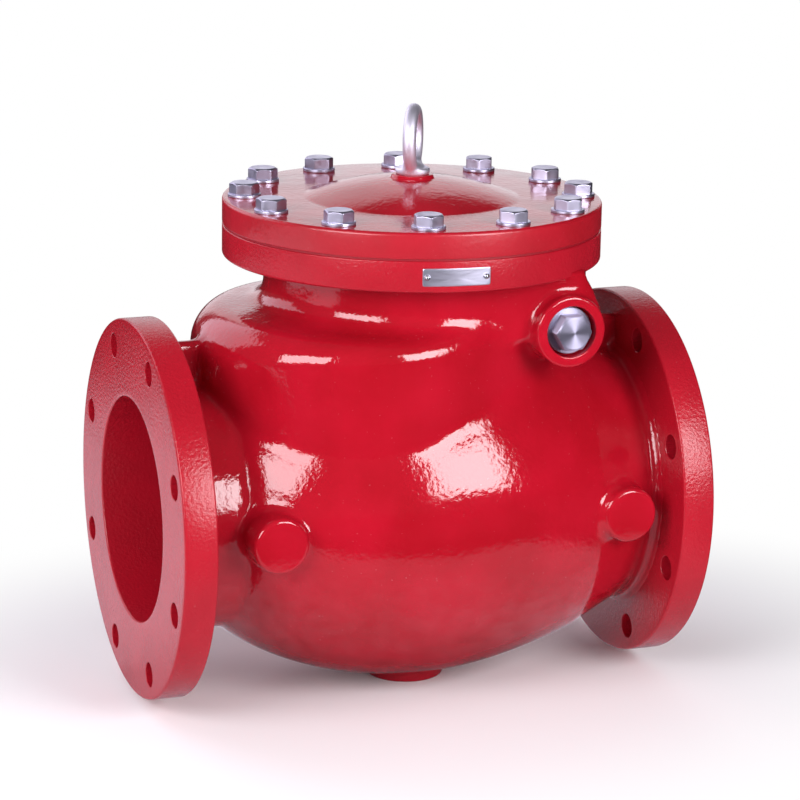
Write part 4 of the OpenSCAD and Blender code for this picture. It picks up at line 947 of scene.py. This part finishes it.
tag_metal = satin_aluminium("satin_aluminium_sheet", "#ebe9ff", 0.5)
make_piece("blank_plate", plate.reshape(-1, 3), grid_faces(len(inset), len(outline), False, True), tag_metal,
           "bare_aluminium", replaces=["tag_plate"], sharp=40)

# %% [markdown]
# ## Finishes of the pieces that keep their CAD shape
# Pins, bushes, the clapper and its small parts already have their real shape, so they only get their metal,
# rubber or fibre: cast bronze turned to a warm shine, stainless steel, soft copper, dull primed iron, black
# rubber, and a fibre gasket that was painted over with the body.

# %% Materials of the CAD nodes
def matt(name, colour, dark, roughness, grain_mm, depth_mm, metallic=0.0):
    """A grainy solid: two tones in fine noise, with the same size of bump."""
    material, tree, shader, place = new_material(name, Roughness=roughness, Metallic=metallic)
    noise = add_node(tree, "ShaderNodeTexNoise", {"Vector": place}, Scale=1 / (grain_mm * MM), Detail=5.0)
    mix = add_node(tree, "ShaderNodeMix", {"Factor": noise.outputs["Fac"]}, data_type="RGBA")
    mix.inputs[6].default_value, mix.inputs[7].default_value = linear(dark), linear(colour)
    tree.links.new(shader.inputs["Base Color"], mix.outputs[2])
    tree.links.new(shader.inputs["Normal"], add_bump(tree, place, None, grain_mm, depth_mm, detail=4.0))
    return material


bronze = bright_metal("machined_bronze", "#b58a4c", 0.30)
stainless = bright_metal("turned_stainless", "#b9babc", 0.28)
copper = bright_metal("soft_copper_ring", "#b87350", 0.35)
iron = matt("primed_cast_iron", "#4a4c50", "#303236", 0.55, 1.6, 0.12, metallic=0.2)
rubber = matt("moulded_rubber", "#1d1d1f", "#131314", 0.6, 0.8, 0.02)
fibre = matt("compressed_fibre_under_paint", "#9a0b1e", "#7c0919", 0.45, 0.9, 0.08)
rivet_metal = bright_metal("drive_rivet_aluminium", "#c4c5cc", 0.3)
finish = {"bronze": bronze, "fibre_gasket": fibre, "stainless_steel": stainless, "copper_seal": copper,
          "bare_cast_iron": iron, "black_rubber": rubber, "rivet_aluminium": rivet_metal,
          "red_enamel_casting": enamel, "zinc_plated_steel": zinc, "polished_zinc_steel": eye_zinc,
          "turned_steel": zinc, "bare_aluminium": tag_metal}
for part in frame["record"]["subparts"]:
    node = frame["nodes"][part["node"]]
    node.data.materials.clear()
    node.data.materials.append(finish[part["material_slot"]])

# %% [markdown]
# ## The floor and what the enamel mirrors in it
# The valve was photographed on a small pale table in a dim room, and then shown on pure white. Glossy
# enamel mirrors the first and the eye sees the second, so the floor shows two faces, and a Light Path node
# tells them apart. The camera sees matt white that brightens far away, so that no horizon crosses the
# picture. Reflections see a painted table: it ends in front, behind and beside the inlet, it has painted
# light that is brighter at the outlet's end and behind, a painted mottle of light like creased paper, and
# a painted shadow under the valve. The edges are soft steps, multiplied with each other.

# %% Floor
def soft_edges(tree, *edges):
    """Product of soft steps. Each (socket, low, high, start, end) goes from start to end along 3 t^2 - 2 t^3
    while its socket goes from low to high."""
    steps = [add_node(tree, "ShaderNodeMapRange", {"Value": socket}, interpolation_type="SMOOTHSTEP",
                      From_Min=low, From_Max=high, To_Min=start, To_Max=end).outputs[0]
             for socket, low, high, start, end in edges]
    product = steps[0]
    for step in steps[1:]:
        product = add_node(tree, "ShaderNodeMath", {0: product, 1: step}, operation="MULTIPLY").outputs[0]
    return product


FLOOR_HALF, FLOOR_Z, FOOT_X, FOOT_Y = 8, DRAIN_Z * MM, 0.27, 0.20
floor_mesh = bpy.data.meshes.new("studio_floor")
floor_corners = np.array([(-1, -1), (1, -1), (1, 1), (-1, 1)]) * FLOOR_HALF
floor_mesh.from_pydata([(x, y, FLOOR_Z) for x, y in floor_corners.tolist()], [], [(0, 1, 2, 3)])
floor = bpy.data.objects.new("studio_floor", floor_mesh)
bpy.context.scene.collection.objects.link(floor)
floor_paint, tree, shader, place = new_material("matt_white_floor_and_painted_reflection_of_a_table", Base_Color=linear("#f4f4f4"),
                                                Roughness=0.9)
floor_mesh.materials.append(floor_paint)
at = add_node(tree, "ShaderNodeSeparateXYZ", {"Vector": place}).outputs
# The footprint is an ellipse round the valve: inside it the reflected table gets its painted shadow, and far
# from it the camera's white begins.
footprint = add_node(tree, "ShaderNodeMapping", {"Vector": place})
footprint.inputs["Location"].default_value = (HALF_LENGTH * MM / FOOT_X, 0, 0)
footprint.inputs["Scale"].default_value = (1 / FOOT_X, 1 / FOOT_Y, 0)
from_valve = add_node(tree, "ShaderNodeVectorMath", {"Vector": footprint.outputs[0]},
                      operation="LENGTH").outputs["Value"]
print(f"floor at {FLOOR_Z:.4f} m")

# %% [markdown]
# The mirrored table is a painted reflection, an emission whose strength is worked out from the floor's
# metres. It lights nothing, because only reflections see it.

# %% The two faces of the floor
# The reflected table's edges, times a painted shadow that darkens it to 0.15 inside the valve's footprint.
table = soft_edges(tree, (at["Y"], -0.52, -0.44, 0, 1), (at["Y"], 0.9, 1.2, 1, 0),
                   (at["X"], 0.08, 0.18, 1, 0), (from_valve, 0.35, 0.95, 0.15, 1))
# Painted light: the reflected table is brighter at the outlet's end and behind, where more light falls on it.
painted_light_at_outlet_end = soft_edges(tree, (at["X"], -0.85, -0.50, 1.1, 0.6))
painted_light_behind = soft_edges(tree, (at["Y"], 0.0, 0.25, 0.6, 1.1))
painted_table_light = add_node(tree, "ShaderNodeMath", {0: painted_light_at_outlet_end, 1: painted_light_behind}, operation="MAXIMUM")
# A painted mottle of light over the reflected table, like creased paper.
painted_crease_light_noise = add_node(tree, "ShaderNodeTexNoise", {"Vector": place}, Scale=1 / (26 * MM), Detail=4.0,
                   Roughness=0.6)
painted_crease_light = add_node(tree, "ShaderNodeMapRange", {"Value": painted_crease_light_noise.outputs["Fac"]}, From_Min=0.25,
                   From_Max=0.75, To_Min=0.6, To_Max=1.4)
for factor in (painted_table_light.outputs[0], painted_crease_light.outputs[0]):
    table = add_node(tree, "ShaderNodeMath", {0: table, 1: factor}, operation="MULTIPLY").outputs[0]
table = add_node(tree, "ShaderNodeMath", {1: table}, operation="ADD", Value=0.02).outputs[0]
# The painted reflection: an emission that only glossy rays see.
painted_table_reflection = add_node(tree, "ShaderNodeEmission", {"Strength": table}, Color=linear("#f6f0ff")).outputs[0]
rays = add_node(tree, "ShaderNodeLightPath").outputs
far = soft_edges(tree, (from_valve, 1.1, 2.6, 0, 1))
seen_far = add_node(tree, "ShaderNodeMath", {0: far, 1: rays["Is Camera Ray"]}, operation="MULTIPLY")
white = add_node(tree, "ShaderNodeEmission", Color=linear("#ffffff"))
seen = add_node(tree, "ShaderNodeMixShader",
                {"Fac": seen_far.outputs[0], 1: shader.outputs[0], 2: white.outputs[0]})
face = add_node(tree, "ShaderNodeMixShader",
                {"Fac": rays["Is Glossy Ray"], 1: seen.outputs[0], 2: painted_table_reflection})
tree.links.new(tree.nodes["Material Output"].inputs["Surface"], face.outputs[0])
print("floor nodes:", len(tree.nodes))

# %% [markdown]
# ## Soft light
# Two soft boxes stand to the left and right of the camera, and the enamel mirrors each of them as one pale
# patch with clear edges. A weaker one behind the outlet lifts the far side.

# %% Lights
# A point on the viewer's side of the bulb, which every light faces
AIM = Vector(to_frame((-60, -100, 60)))


def softbox(name, azimuth, elevation, width, height, radiance, colour, distance=2.2):
    """A rectangular area light that faces AIM from a direction in degrees, 0 being the viewer's side and 90
    the inlet's. Its power is pi * area * radiance. The camera doesn't see it."""
    az, el = math.radians(azimuth), math.radians(elevation)
    away = Vector((math.sin(az) * math.cos(el), -math.cos(az) * math.cos(el), math.sin(el)))
    data = bpy.data.lights.new(name, "AREA")
    data.shape, data.size, data.size_y = "RECTANGLE", width, height
    data.energy, data.color = math.pi * width * height * radiance, linear(colour)[:3]
    light = bpy.data.objects.new(name, data)
    light.location = AIM + away * distance
    light.rotation_mode = "QUATERNION"
    light.rotation_quaternion = away.to_track_quat("Z", "Y")
    light.visible_camera = False
    bpy.context.scene.collection.objects.link(light)
    print(f"{name}: {data.energy:.0f} W")


softbox("left_softbox", -60, 23, 1.45, 0.92, 10.5, "#fdfaff")
softbox("right_softbox", 24.5, 21, 1.02, 1.04, 13.5, "#fdfaff")
softbox("rear_left_softbox", -146, 28, 1.9, 1.5, 2.0, "#f1ebfb")

# %% [markdown]
# ## The room
# Behind the valve, to the right, hangs a pale backdrop, which the flat cover mirrors; the rest of the room
# is nearly dark. A little light from everywhere fills the shadows, and the camera sees white past the
# floor's end.

# %% Room
world = bpy.data.worlds.new("pale_room")
world.use_nodes = True
tree = world.node_tree
background = tree.nodes["Background"]
looking = add_node(tree, "ShaderNodeTexCoord").outputs["Generated"]
way = add_node(tree, "ShaderNodeSeparateXYZ", {"Vector": looking}).outputs
backdrop = soft_edges(tree, (way["Y"], 0.70, 0.80, 0, 1.25), (way["X"], -0.06, 0.03, 0, 1),
                      (way["Z"], 0.70, 0.80, 1, 0.1), (way["Z"], -0.17, -0.10, 0, 1))
dim = soft_edges(tree, (way["X"], 0.2, 0.8, 0.09, 0.005))
rays = add_node(tree, "ShaderNodeLightPath").outputs
room = add_node(tree, "ShaderNodeMath", {0: backdrop, 1: dim}, operation="MAXIMUM")
fill = add_node(tree, "ShaderNodeMath", {1: rays["Is Diffuse Ray"]}, operation="MULTIPLY", Value=0.24)
filled = add_node(tree, "ShaderNodeMath", {0: room.outputs[0], 1: fill.outputs[0]}, operation="ADD")
white = add_node(tree, "ShaderNodeMath", {1: rays["Is Camera Ray"]}, operation="MULTIPLY", Value=1.06)
strength = add_node(tree, "ShaderNodeMath", {0: filled.outputs[0], 1: white.outputs[0]}, operation="MAXIMUM")
tree.links.new(background.inputs["Strength"], strength.outputs[0])
background.inputs["Color"].default_value = linear("#fbf9ff")
bpy.context.scene.world = world
bpy.context.scene.view_settings.view_transform = "Standard"
print("room nodes:", len(tree.nodes))

# %% [markdown]
# ## The camera
# It stands where the photograph's perspective puts it: a little left of the middle, above the valve and far
# away, with a long lens. The camera's three directions are the columns of its turn, and the roll mixes two.

# %% Camera
AZIMUTH, ELEVATION, ROLL = (math.radians(v) for v in (-20.41, 14.31, 0.97))
CAMERA_PLACE, SENSOR_MM, FOCAL_PIXELS, FRAME_PIXELS = (-1.21669, -2.62504, 0.79678), 36.0, 3150.3, 800
back = Vector((math.sin(AZIMUTH) * math.cos(ELEVATION), -math.cos(AZIMUTH) * math.cos(ELEVATION),
               math.sin(ELEVATION)))
right = Vector((math.cos(AZIMUTH), math.sin(AZIMUTH), 0))
up = back.cross(right)
right, up = (math.cos(ROLL) * right + math.sin(ROLL) * up, -math.sin(ROLL) * right + math.cos(ROLL) * up)
camera_data = bpy.data.cameras.new("camera")
camera_data.sensor_width, camera_data.lens = SENSOR_MM, FOCAL_PIXELS / FRAME_PIXELS * SENSOR_MM
camera = bpy.data.objects.new("camera", camera_data)
camera.matrix_world = Matrix.Translation(CAMERA_PLACE) @ Matrix((right, up, back)).transposed().to_4x4()
bpy.context.scene.collection.objects.link(camera)
bpy.context.scene.camera = camera
print(f"camera at {tuple(round(v, 3) for v in camera.location)}, lens {camera_data.lens:.2f} mm")
